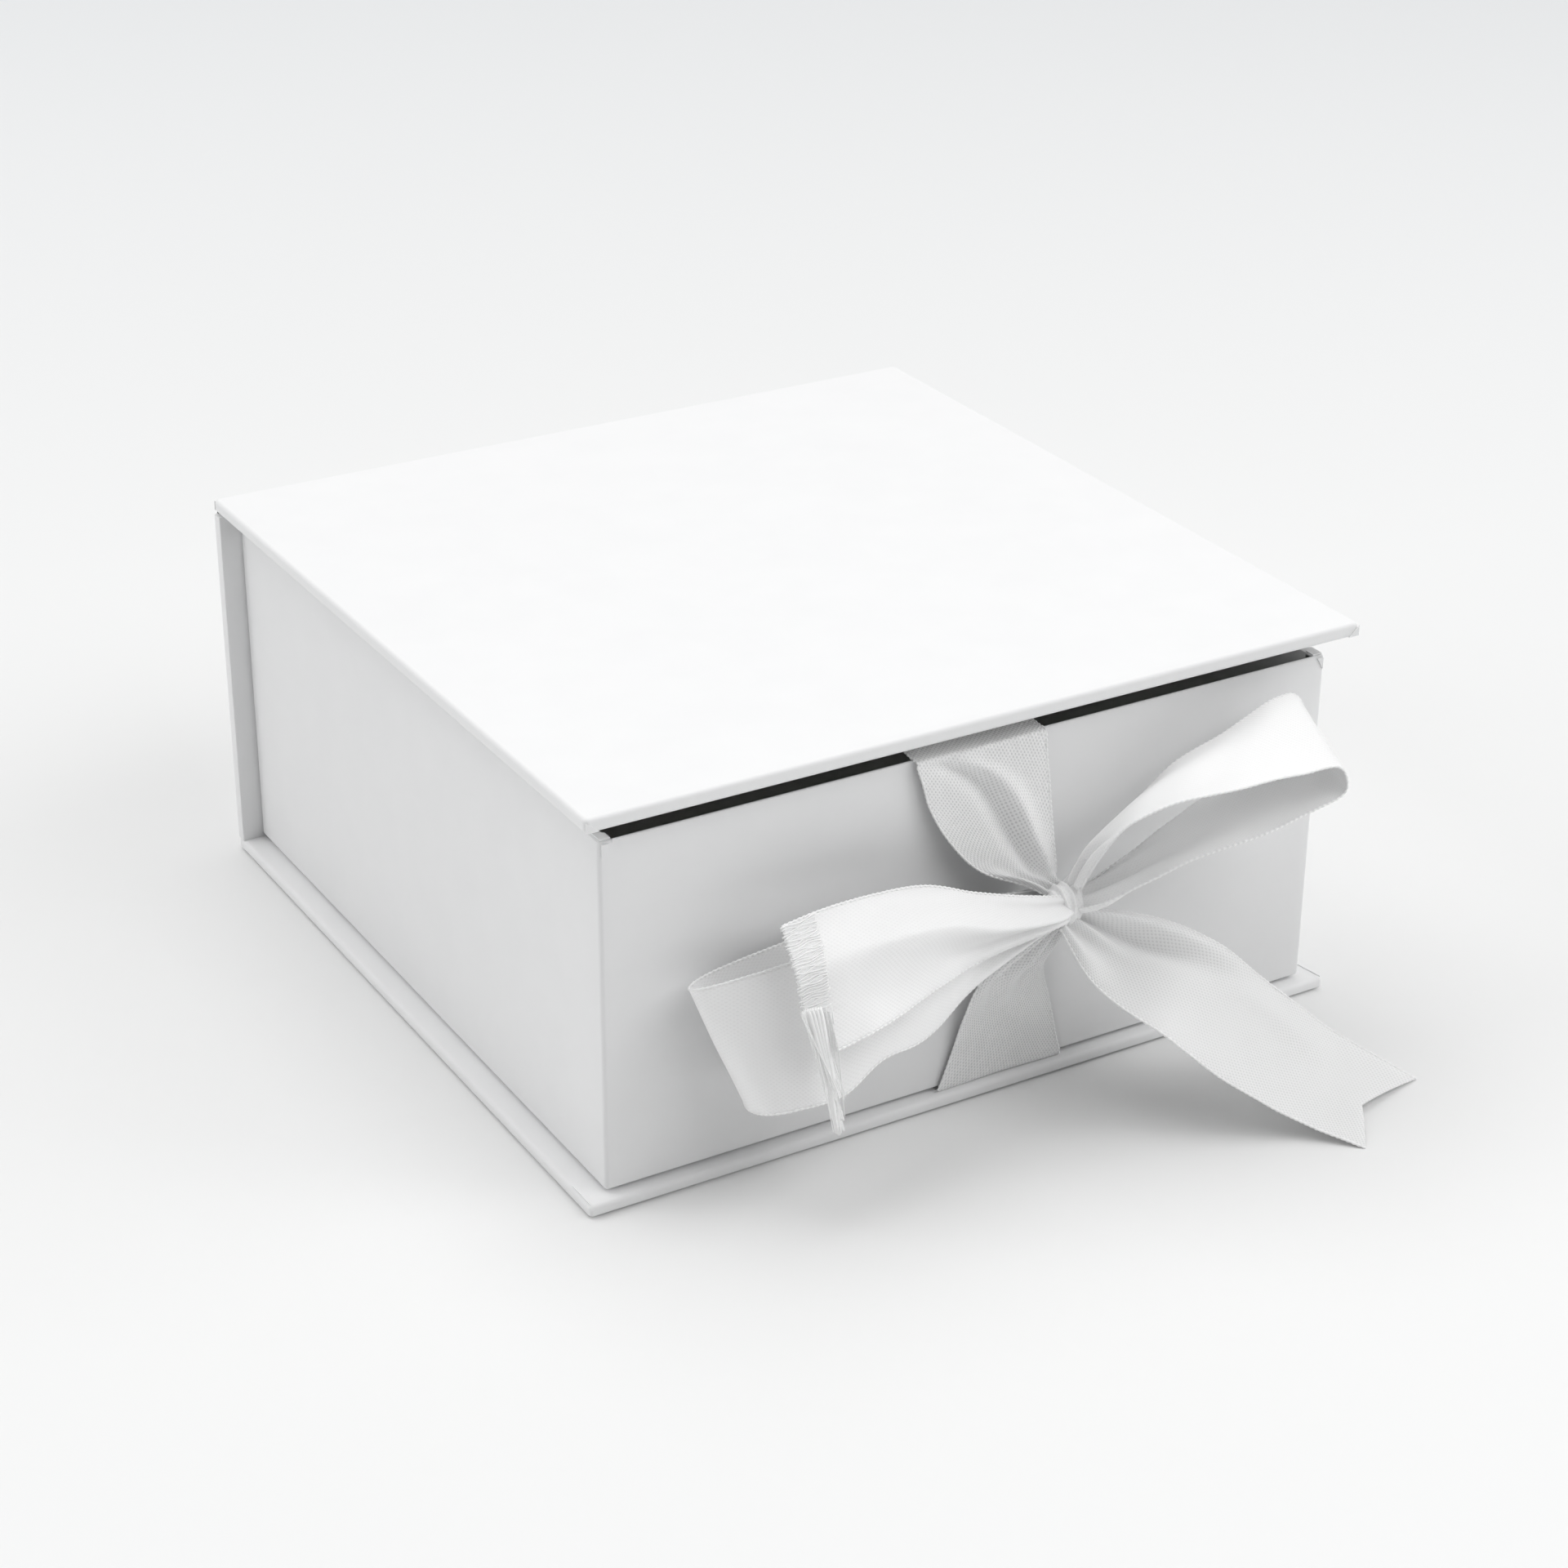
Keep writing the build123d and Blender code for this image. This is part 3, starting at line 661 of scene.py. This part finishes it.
BASE_STRAP = flat_stations(under_tray, from_tray, -1) + [
    (*from_tray, -1, 0, 0, 1.0, 0, 0, 0),
] + hanging(up_wall, -1, (
    ((0.0, 0.0, 0.0), 0.0, 1.0, (0.0, 0.0, 0.0)),
    ((0.05, 0.09, 0.18), 0.06, 0.84, (0.4, -0.4, 0.2)),
    ((-0.04, 0.23, 0.38), 0.05, 0.70, (0.8, -0.4, 0.4)),
    ((-0.05, 0.45, 0.61), 0.08, 0.48, (1.0, -0.3, 0.4)),
    ((0.54, 0.78, 0.80), 0.10, 0.25, (0.6, 0.0, 0.0)),
    ((0.91, 0.94, 0.90), 0.0, 0.18, (0.0, 0.0, 0.0)),
))
tab_height = tab_low[2] + RIBBON_THICK / 2
tab_start = (SLIT[0], tab_high[1], tab_height)
tab_end = (SLIT[0], SLIT[1] + SLIT_LEAD, tab_height)
LID_TAB = flat_stations(tab_start, tab_end, 1) + [
    (*tab_end, 1, 0, 0, 1.0, 0, 0, 0),
    (*SLIT, 1, 0, 0, 1.0, 0, 0, 0),
]

# Name, node it stands for, body, stations, share of pleats and width of the fold,
# materials of its two sides, cut, how it is held and by what
RIBBONS = (
    ("bow_tail_left", "bow_left_tail", "box", LEFT_TAIL, (0.3, 0.42),
     (SATIN, SATIN), FRAYED_CORNER, "hung", ["bow_knot"]),
    ("bow_loop_left", "bow_left_loop", "box", LEFT_LOOP, (0.6, 0.42),
     (SATIN, SATIN), None, "gathered", ["bow_knot"]),
    ("bow_loop_right", "bow_right_loop", "box", RIGHT_LOOP, (0.7, 0.42),
     (SATIN, SATIN), None, "gathered", ["bow_knot"]),
    # the right tail's face is the matt back, greyed as painted shade where it faces away from the light
    ("bow_tail_right", "bow_right_tail", "box", RIGHT_TAIL, (0.5, 0.22),
     (MATT_AND_PAINTED_SHADE, SATIN), SWALLOW_TAIL, "hung", ["bow_knot"]),
    ("strap_lid", "lid_ribbon", "lid_tie", LID_STRAP, (0.5, 0.19),
     (TWILL, SATIN), None, "stretched", ["lid_liner", "tray_wrap"]),
    ("strap_base", "base_ribbon", "box", BASE_STRAP, (0.7, 0.42),
     (TWILL, SATIN), None, "stretched", ["base_wrap", "tray_wrap"]),
    ("strap_lid_end", "lid_ribbon_tab", "lid", LID_TAB, (0.0, 0.42),
     (TWILL, SATIN), None, "laid", ["lid_board"]),
)


# Loose threads at the cut end of the left tail: pairs are the least and the most that a thread draws

FULL_TURN = 6.28
END_ROWS = 12
FRAY_SEED = 7
FRAY_THREADS = 34
FRAY_STEPS = 14
FRAY_SHARES = (0.9, 1.0)
FRAY_PAST = (0.0, 0.5)
FRAY_WAVE = (0.08, 0.22)
FRAY_TURNS = (0.8, 1.8)
FRAY_LIFT = (0.0, 0.6)
FRAY_RADIUS = 0.13
FRAY_FROM = -0.97
FRAY_TO = 0.32
STRAND_THREADS = 11
STRAND_LONG = 23.0
STRAND_SHARES = (0.86, 1.0)
STRAND_WIDE = 0.8
STRAND_FLAT = 0.6
STRAND_TURN = 2.4
STRAND_RADIUS = 0.4
STRAND_RISE = 1.0
STRAND_OUT = 0.8
STRAND_FORWARD = 3.0
HAIRS = 7
HAIR_SHARES = (0.6, 0.95)
HAIR_WIDE = 2.4
HAIR_DEEP = 0.4
HAIR_RADIUS = 0.11
HANG_STEPS = 20
HANG_SWAY = 0.3
HANG_TURNS = (3.0, 6.0)
HANG_CLOSE = 0.5
HANG_THIN = 0.4
HANG_ROOT = 0.4
HANG_SWELL = 8.0

# Length of the frayed threads at the two sides of the fray
FRAY_LONG = (7.0, 4.8)

# Each strand: place across the end, how far in from it, and drift aside as it falls
STRAND_STARTS = ((0.32, 0.5, 4.4), (0.35, 0.9, 2.7))


def across_end(surface, place):
    """Point, run and facing of a ribbon's end at a place across it from -1 to 1."""
    points, facing = surface[:2]
    u = np.linspace(-1.0, 1.0, points.shape[1])
    rows = (points[-1], unit(points[-1] - points[-END_ROWS]), facing[-1])
    return [np.array([np.interp(place, u, axis) for axis in row.T]) for row in rows]


def hanging_thread(root, draw, long, aside, drift, radius):
    """A loose thread that hangs from a place, with a little sway, and thins to its end."""
    fall = np.linspace(0.0, 1.0, HANG_STEPS)
    sway = HANG_SWAY * np.sin(fall * draw.uniform(*HANG_TURNS) + draw.uniform(0, FULL_TURN)) * fall
    close = 1.0 - HANG_CLOSE * fall
    x = aside[0] * close + sway + drift * fall
    y = aside[1] * close - STRAND_FORWARD * fall
    path = root + np.stack([x, y, -long * fall], axis=1)
    thin = 1.0 - HANG_THIN * fall**3
    return path, radius * thin * np.minimum(HANG_ROOT + HANG_SWELL * fall, 1.0)


def fray_piece(name, surface):
    """Threads that lie loose along a cut end, and two strands that hang from its corner."""
    draw = np.random.default_rng(FRAY_SEED)
    paths = []
    for place in np.linspace(FRAY_FROM, FRAY_TO, FRAY_THREADS):
        edge, way, out = across_end(surface, place)
        side = unit(np.cross(way, out))
        long = np.interp(place, (-1.0, FRAY_TO), FRAY_LONG) * draw.uniform(*FRAY_SHARES)
        reach = np.linspace(-long, draw.uniform(*FRAY_PAST), FRAY_STEPS)
        deep = draw.uniform(*FRAY_WAVE)
        wave = deep * np.sin(reach * draw.uniform(*FRAY_TURNS) + draw.uniform(0, FULL_TURN))
        lift = RIBBON_THICK / 2 + FRAY_RADIUS * draw.uniform(*FRAY_LIFT)
        path = edge + way * reach[:, None] + side * wave[:, None] + out * lift
        paths.append((path, np.full(len(reach), FRAY_RADIUS)))
    for start, inward, drift in STRAND_STARTS:
        edge, way, out = across_end(surface, start)
        root = edge - way * inward + np.array((0, 0, STRAND_RISE))
        front = STRAND_OUT * out[1]
        for i in range(STRAND_THREADS):
            turn = STRAND_TURN * i
            wide = STRAND_WIDE * math.sqrt(i / STRAND_THREADS)
            aside = (wide * math.cos(turn), STRAND_FLAT * wide * math.sin(turn) + front)
            long = STRAND_LONG * draw.uniform(*STRAND_SHARES)
            paths.append(hanging_thread(root, draw, long, aside, drift, STRAND_RADIUS))
        for i in range(HAIRS):
            aside = (draw.uniform(-HAIR_WIDE, HAIR_WIDE), draw.uniform(-HAIR_DEEP, HAIR_DEEP) + front)
            long = STRAND_LONG * draw.uniform(*HAIR_SHARES)
            paths.append(hanging_thread(root, draw, long, aside, drift, HAIR_RADIUS))
    return tubes_object(name, paths, THREAD, THREAD_SIDES)


for name, node, body, stations, folds, sides, cut, held, carried in RIBBONS:
    surface = ribbon_surface(stations, *folds, cut)
    piece = ribbon_piece(name, surface, *sides)
    trims = [selvedge_piece(name + "_selvedge", surface)]
    if name == "bow_tail_left":
        trims.append(fray_piece(name + "_fray", surface))
    for each in (piece, *trims):
        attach(each, body)
    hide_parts(node)


# Knot: the ribbon wound once round the bow, bunched to a small barrel

KNOT_COLUMNS = 44
KNOT_ROWS = 30
KNOT_TAPER = 0.72
KNOT_LEAN = 0.08

# Creases round the knot: depth, waves along it, and how far and from which turn they sway
KNOT_CREASES = ((0.075, 13.0, 1.3, 0.4), (0.04, 23.0, 2.0, math.pi / 2))


def make_knot():
    """A barrel about the X axis with creases that run round it."""
    half_wide, half_deep, half_tall = (knot_high - knot_low) / 2
    turn = np.linspace(0.0, 2 * math.pi, KNOT_COLUMNS, endpoint=False)[None, :]
    x = np.linspace(-1.0, 1.0, KNOT_ROWS)[:, None]
    swell = 1.0
    for deep, waves, sway, phase in KNOT_CREASES:
        swell = swell + deep * np.sin(waves * x + sway * np.sin(turn + phase))
    swell = swell * np.sqrt(1.0 - KNOT_TAPER * x**4)
    lean = half_wide * x * (1.0 + KNOT_LEAN * np.sin(turn))
    points = np.stack([lean, half_deep * swell * np.cos(turn), half_tall * swell * np.sin(turn)], axis=-1)
    faces = grid_faces(KNOT_ROWS, KNOT_COLUMNS, 0, closed=True).tolist()
    faces.append(list(range(KNOT_COLUMNS - 1, -1, -1)))
    faces.append(list(range((KNOT_ROWS - 1) * KNOT_COLUMNS, KNOT_ROWS * KNOT_COLUMNS)))
    across = np.repeat(x * half_wide, KNOT_COLUMNS, axis=1).ravel()
    round_it = np.repeat(turn * half_tall, KNOT_ROWS, axis=0).ravel()
    uv = np.stack([across, round_it], axis=-1)
    return make_object("knot_band", points.reshape(-1, 3) + KNOT, faces, [SATIN], None, uv)


stand_for(make_knot(), "box", "bow_knot")


# Tray: its paper goes up the walls, over the rim and down inside

SIDE_STEP = 4.0
SIDE_STATIONS = 36
CORNER_STEPS = 6

# Section of its paper: shares of the wall, of the rim's rounding and of its fall,
# then the rim's nose and drop, and the gap between its faces in papers
WALL_SHARES = (0.25, 0.5, 0.75, 0.92)
RIM_EASE = 0.3
RIM_SLOPE = 0.8
RIM_NOSE = 0.2
RIM_DOWN = 6.0
RIM_GAP = 1.5


def tray_plan():
    """Stations round the tray: side, place along it or turn of the corner, and front rim or not."""
    inner_x = tray_high[0] - RIM_WIDE
    straight_x = tray_high[0] - CORNER_ROUND
    front = np.linspace(-inner_x, inner_x, int(2 * inner_x / SIDE_STEP))
    deep = np.linspace(tray_low[1] + CORNER_ROUND, tray_high[1] - CORNER_ROUND, SIDE_STATIONS)
    wide = np.linspace(-straight_x, straight_x, SIDE_STATIONS)
    turns = np.linspace(0.0, 90.0, CORNER_STEPS + 1)[1:-1]
    stations = [("front", -straight_x, False), ("front", -inner_x, False)]
    stations += [("front", x, True) for x in front]
    stations += [("front", inner_x, False), ("front", straight_x, False)]
    stations += [("corner", (1, -1, -90.0 + turn), False) for turn in turns]
    stations += [("right", y, False) for y in deep]
    stations += [("corner", (1, 1, turn), False) for turn in turns]
    stations += [("back", x, False) for x in wide[::-1]]
    stations += [("corner", (-1, 1, 90.0 + turn), False) for turn in turns]
    stations += [("left", y, False) for y in deep[::-1]]
    stations += [("corner", (-1, -1, 180.0 + turn), False) for turn in turns]
    return stations


def plan_point(side, place, inset):
    """A point of the tray's plan, an inset in from its outer face."""
    low = tray_low[:2] + inset
    high = tray_high[:2] - inset
    if side == "corner":
        sign_x, sign_y, degrees = place
        corner = np.where(np.array((sign_x, sign_y)) > 0, high, low)
        left = max(CORNER_ROUND - inset, 0.0)
        turn = math.radians(degrees)
        return corner + left * (np.array((math.cos(turn), math.sin(turn))) - np.array((sign_x, sign_y)))
    if side in ("front", "back"):
        return np.array((min(max(place, low[0]), high[0]), low[1] if side == "front" else high[1]))
    return np.array((low[0] if side == "left" else high[0], min(max(place, low[1]), high[1])))


def rim_profile(front):
    """The paper's section: inset and height, round its outside and back along its inside."""
    foot, top = tray_low[2], tray_high[2]
    lip = liner_high[2]
    fall = FRONT_RIM_FALL if front else 0.0
    ease = RIM_ROUND / 2 if front else RIM_ROUND
    inner = RIM_WIDE - PAPER
    under_top = top - RIM_GAP * PAPER
    return [
        (TURN_UNDER, foot),
        (FOOT_ROUND + FOOT_FLAT, foot),
        *[(FOOT_ROUND * inset, foot + FOOT_ROUND * height) for inset, height in FOOT_SHARES],
        *[(0.0, foot + share * (top - foot)) for share in WALL_SHARES],
        (0.0, top - ease),
        (RIM_EASE * ease, top - RIM_EASE * ease),
        (ease, top),
        (RIM_WIDE - RIM_ROUND, top - RIM_SLOPE * fall),
        (RIM_WIDE - RIM_NOSE, top - RIM_NOSE - fall),
        (RIM_WIDE, top - RIM_ROUND - fall),
        (RIM_WIDE, top - RIM_DOWN),
        (RIM_WIDE, lip),
        (inner, lip),
        (inner, under_top - fall),
        (PAPER, under_top),
        (PAPER, foot + FOOT_ROUND),
        (FOOT_ROUND, foot + PAPER),
        (TURN_UNDER, foot + PAPER),
    ]


def make_tray_paper():
    """The tray's wrap as one thin closed skin round the four walls."""
    points = []
    plan = tray_plan()
    for side, place, front in plan:
        for inset, height in rim_profile(front):
            points.append((*plan_point(side, place, inset), height))
    section = len(rim_profile(False))
    grid = np.array(points).reshape(len(plan), section, 3)
    grid = np.concatenate([grid, grid[:1]])
    faces = grid_faces(len(plan) + 1, section, 0, closed=True)
    paper = make_object("tray_paper", grid.reshape(-1, 3), faces, [WRAP])
    weld(paper, PAPER_SHARP)
    return paper


def make_front_board():
    """The front wall's board, with its top sloped to the inside under the paper."""
    low, high = front_low, front_high
    top_out = tray_high[2] - 2 * PAPER
    top_in = top_out - FRONT_RIM_FALL
    section = [(low[1], low[2]), (high[1], low[2]), (high[1], top_in), (low[1], top_out)]
    points = [(x, y, z) for x in (low[0], high[0]) for y, z in section]
    faces = [(0, 1, 2, 3), (7, 6, 5, 4), (0, 4, 5, 1), (1, 5, 6, 2), (2, 6, 7, 3), (3, 7, 4, 0)]
    board = make_object("tray_front_core", points, faces, [GREYBOARD])
    weld(board, FLAT_SHARP)
    return board


stand_for(make_tray_paper(), "box", "tray_wrap")
stand_for(make_front_board(), "box", "tray_front_board")


# Base and tray floor: paper drawn round the boards' edges leaves them blunt

SLAB_STEPS = 4
TRAY_FLOOR_LIFT = 0.3
TRAY_FLOOR_CLEAR = 0.03


def slab_ring(low, high, inset, height):
    """One ring of points round a slab, with its upright corners rounded."""
    ring = []
    left = max(CORNER_ROUND - inset, CORNER_LEAST)
    for sign_x, sign_y, first in ((1, -1, -90.0), (1, 1, 0.0), (-1, 1, 90.0), (-1, -1, 180.0)):
        corner_x = (high[0] if sign_x > 0 else low[0]) - sign_x * (inset + left)
        corner_y = (high[1] if sign_y > 0 else low[1]) - sign_y * (inset + left)
        for degrees in np.linspace(first, first + 90.0, SLAB_STEPS + 1):
            turn = math.radians(degrees)
            ring.append((corner_x + left * math.cos(turn), corner_y + left * math.sin(turn), height))
    return ring


def slab_mesh(low, high, rings):
    """The points and faces of a closed slab through rings of inset and height."""
    points = [point for inset, height in rings for point in slab_ring(low, high, inset, height)]
    columns = len(points) // len(rings)
    faces = grid_faces(len(rings), columns, 0, closed=True).tolist()
    faces += [list(range(columns - 1, -1, -1)), list(range(len(points) - columns, len(points)))]
    return points, faces


def make_base_paper(core_rings):
    """The base's wrap as a shell: blunt edges outside, and the board's own shape inside."""
    low, high = base_low[2], base_high[2]
    quarter = [math.radians(90.0 * i / SLAB_STEPS) for i in range(SLAB_STEPS + 1)]
    rings = [(BASE_FOOT + BASE_FLAT, low)]
    rings += [(BASE_FOOT * inset, low + BASE_FOOT * height) for inset, height in FOOT_SHARES]
    for turn in quarter:
        rings.append((BASE_ROUND * (1 - math.cos(turn)), high - BASE_ROUND * (1 - math.sin(turn))))
    rings.append((BASE_ROUND + BASE_FLAT, high))
    points, faces = slab_mesh(base_low, base_high, rings)
    inner_points, inner_faces = slab_mesh(base_low, base_high, core_rings)
    faces += [[len(points) + i for i in reversed(face)] for face in inner_faces]
    paper = make_object("base_paper", points + inner_points, faces, [WRAP])
    weld(paper, PAPER_SHARP, turn_out=False)
    return paper


def make_core(name, low, high, rings):
    """A board inside its paper, with its lower edge blunt."""
    board = make_object(name, *slab_mesh(low, high, rings), [GREYBOARD])
    weld(board, FLAT_SHARP)
    return board


base_rings = [
    (BASE_FOOT, base_low[2] + PAPER),
    (PAPER, base_low[2] + BASE_FOOT),
    (PAPER, base_high[2] - PAPER),
]
floor_side = PAPER + TRAY_FLOOR_CLEAR
floor_rings = [
    (FOOT_ROUND + TRAY_FLOOR_CLEAR - TRAY_FLOOR_LIFT, tray_low[2] + PAPER + TRAY_FLOOR_LIFT),
    (floor_side, tray_low[2] + FOOT_ROUND),
    (floor_side, corners("tray_bottom_board")[1][2]),
]
stand_for(make_base_paper(base_rings), "box", "base_wrap")
stand_for(make_core("base_core", base_low, base_high, base_rings), "box", "base_board")
tray_floor = make_core("tray_floor_core", tray_low, tray_high, floor_rings)
stand_for(tray_floor, "box", "tray_bottom_board")


# Paper folds at the corners, and the hinge's paper strip

FOLD_PAPER = 0.2
LID_FOLD_EDGE = 0.15
LID_FOLD_WIDE = 2.4
LID_FOLD_LOW = 0.2
LID_FOLD_TOP = 0.45
BASE_FOLD_EDGE = 0.35
BASE_FOLD_LONG = 6.8
TUCK_EDGE = 0.5
RIM_FOLD_EDGE = 0.15
RIM_FOLD_INNER = (0.5, 2.4)
RIM_FOLD_OUTER = (0.45, 3.4)
HINGE_COLUMNS = 40
HINGE_ROWS = 36
HINGE_SIDE = 0.6
HINGE_TOP = 0.8
HINGE_DROP = 8.0
HINGE_PAPER = 0.12
HINGE_CLEAR = 0.02
HINGE_BELOW = 2.0
HINGE_ABOVE = 1.0

# Outlines from the corner: in along the front, and back as a share of the fold or down from the rim
BASE_FOLD = ((0.0, 0.0), (0.5, 0.45), (1.1, 1.0), (0.0, 1.0))
TRAY_TUCK = ((0.0, 0.5), (1.3, 0.4), (0.0, 2.6))


def fold_patch(name, body, outline, way):
    """A thin folded scrap of paper: a flat outline, thickened one way."""
    low = np.array(outline)
    high = low + np.array(way)
    count = len(low)
    faces = [list(range(count - 1, -1, -1)), list(range(count, 2 * count))]
    faces += [(i, (i + 1) % count, (i + 1) % count + count, i + count) for i in range(count)]
    patch = make_object(name, np.concatenate([low, high]), faces, [WRAP])
    weld(patch, FLAT_SHARP)
    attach(patch, body)


def add_lid_folds(side, sign):
    """Tucked paper on the lid's front and back corner of one side."""
    edge_x = sign * (lid_high[0] - LID_FOLD_EDGE)
    inner_x = sign * (lid_high[0] - LID_FOLD_WIDE)
    low, high = lid_low[2] + LID_FOLD_LOW, lid_high[2] - LID_FOLD_TOP
    for end, face_y, out in (("front", lid_low[1], -1), ("back", lid_high[1], 1)):
        outline = [(edge_x, face_y, low), (inner_x, face_y, low), (edge_x, face_y, high)]
        fold_patch(f"lid_fold_{end}_{side}", "lid", outline, (0, out * FOLD_PAPER, 0))


def add_base_fold(side, sign):
    """Folded paper on the base's front corner of one side."""
    edge_x, edge_y = sign * (base_high[0] - BASE_FOLD_EDGE), base_low[1] + BASE_FOLD_EDGE
    flap = [
        (edge_x - sign * inward, edge_y + share * BASE_FOLD_LONG, base_high[2])
        for inward, share in BASE_FOLD
    ]
    fold_patch(f"base_fold_{side}", "box", flap, (0, 0, FOLD_PAPER))


def add_tray_folds(side, sign):
    """Tucked paper on the tray's front corner of one side, on the wall and on the rim."""
    front_y, top = tray_low[1], tray_high[2]
    corner_x = sign * (tray_high[0] - TUCK_EDGE)
    inner_x = sign * (tray_high[0] - RIM_WIDE + RIM_FOLD_EDGE)
    tuck = [(corner_x - sign * inward, front_y, top - below) for inward, below in TRAY_TUCK]
    fold_patch(f"tray_tuck_{side}", "box", tuck, (0, -FOLD_PAPER, 0))
    rim = [
        (inner_x, front_y + RIM_FOLD_INNER[0], top),
        (corner_x, front_y + RIM_FOLD_OUTER[0], top),
        (corner_x, front_y + RIM_FOLD_OUTER[1], top),
        (inner_x, front_y + RIM_FOLD_INNER[1], top),
    ]
    fold_patch(f"tray_rim_fold_{side}", "box", rim, (0, 0, FOLD_PAPER))


def make_hinge_strip():
    """The paper from the lid's back edge over the hinge line and down the spine."""
    x = np.linspace(spine_low[0] + HINGE_SIDE, spine_high[0] - HINGE_SIDE, HINGE_COLUMNS)
    z = np.linspace(lid_high[2] - HINGE_TOP, HINGE[2] - HINGE_DROP, HINGE_ROWS)
    share = np.clip((lid_low[2] - z) / (lid_low[2] - spine_high[2]), 0.0, 1.0)
    y = lid_high[1] + HINGE_CLEAR + (spine_high[1] - lid_high[1]) * gentle(share)
    heights = (z[-1], HINGE[2] - HINGE_BELOW, HINGE[2] + HINGE_ABOVE, z[0])
    thick = np.interp(z, heights, (0.0, HINGE_PAPER, HINGE_PAPER, HINGE_CLEAR))
    across, down = np.tile(x, HINGE_ROWS), np.repeat(z, HINGE_COLUMNS)
    inner = np.stack([across, np.repeat(y, HINGE_COLUMNS), down], axis=-1)
    outer = np.stack([across, np.repeat(y + HINGE_CLEAR + thick, HINGE_COLUMNS), down], axis=-1)
    faces = np.concatenate(sheet_faces(HINGE_ROWS, HINGE_COLUMNS))
    strip = make_object("hinge_strip", np.concatenate([inner, outer]), faces, [WRAP])
    weld(strip, PAPER_SHARP)
    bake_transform(strip)
    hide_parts("hinge_crease")


for side, sign in (("left", -1), ("right", 1)):
    add_lid_folds(side, sign)
    add_base_fold(side, sign)
    add_tray_folds(side, sign)
make_hinge_strip()


# Stage, light and camera


def make_floor():
    """A pale floor, painted a little lighter and cooler away from the box: painted light that evens out the lamps'
    falloff.
    """
    mesh = bpy.data.meshes.new("floor")
    signs = ((-1, -1), (1, -1), (1, 1), (-1, 1))
    mesh.from_pydata([(x * FLOOR_REACH, y * FLOOR_REACH, 0.0) for x, y in signs], [], [(0, 1, 2, 3)])
    floor = bpy.data.objects.new("floor", mesh)
    bpy.context.scene.collection.objects.link(floor)
    material, tree, shader = new_material("floor", FLOOR_NEAR, FLOOR_ROUGHNESS, FLOOR_SPECULAR)
    place = tree.nodes.new("ShaderNodeTexCoord")
    length = tree.nodes.new("ShaderNodeVectorMath")
    length.operation = "LENGTH"
    tree.links.new(place.outputs["Object"], length.inputs[0])
    # painted light: the floor's colour grows lighter away from the box to even out the lamps' falloff
    tone = ramp_node(tree, length.outputs["Value"], FLOOR_NEAR, FLOOR_FAR_PAINTED_LIGHT, *FLOOR_PAINTED_LIGHT_SPAN)
    tree.links.new(tone, shader.inputs["Base Color"])
    floor.data.materials.append(material)


def add_lamp(name, at, size, power):
    """A soft area lamp, pointed at the box."""
    data = bpy.data.lights.new(name, "AREA")
    data.shape = "RECTANGLE"
    data.size, data.size_y = size
    data.energy = power
    lamp = bpy.data.objects.new(name, data)
    lamp.location = at
    lamp.rotation_euler = (Vector(LAMP_AIM) - Vector(at)).to_track_quat("-Z", "Y").to_euler()
    bpy.context.scene.collection.objects.link(lamp)


def add_world():
    """A white surround, dimmer on one side."""
    world = bpy.data.worlds.new("studio")
    world.use_nodes = True
    tree = world.node_tree
    sky = tree.nodes["Background"]
    place = tree.nodes.new("ShaderNodeTexCoord")
    facing = tree.nodes.new("ShaderNodeVectorMath")
    facing.operation = "DOT_PRODUCT"
    facing.inputs[1].default_value = DIM_SIDE
    tree.links.new(place.outputs["Generated"], facing.inputs[0])
    dim = 1.0 - DIM_SHARE
    shade = ramp_node(tree, facing.outputs["Value"], (1.0, 1.0, 1.0), (dim, dim, dim), 0.0, DIM_TO)
    tree.links.new(shade, sky.inputs["Color"])
    sky.inputs["Strength"].default_value = WORLD_STRENGTH
    bpy.context.scene.world = world


def add_camera():
    """The camera at the photograph's viewing angle."""
    data = bpy.data.cameras.new("camera")
    data.lens = CAMERA_LENS
    data.sensor_width = CAMERA_SENSOR
    camera = bpy.data.objects.new("camera", data)
    bpy.context.scene.collection.objects.link(camera)
    turn = Euler((math.radians(90 - CAMERA_DIP), 0, math.radians(-CAMERA_HEADING))).to_matrix().to_4x4()
    roll = Matrix.Rotation(math.radians(CAMERA_ROLL), 4, "Z")
    camera.matrix_world = Matrix.Translation(CAMERA_AT) @ turn @ roll
    bpy.context.scene.camera = camera


make_floor()
for lamp in LAMPS:
    add_lamp(*lamp)
add_world()
add_camera()
bpy.context.scene.view_settings.view_transform = "Standard"
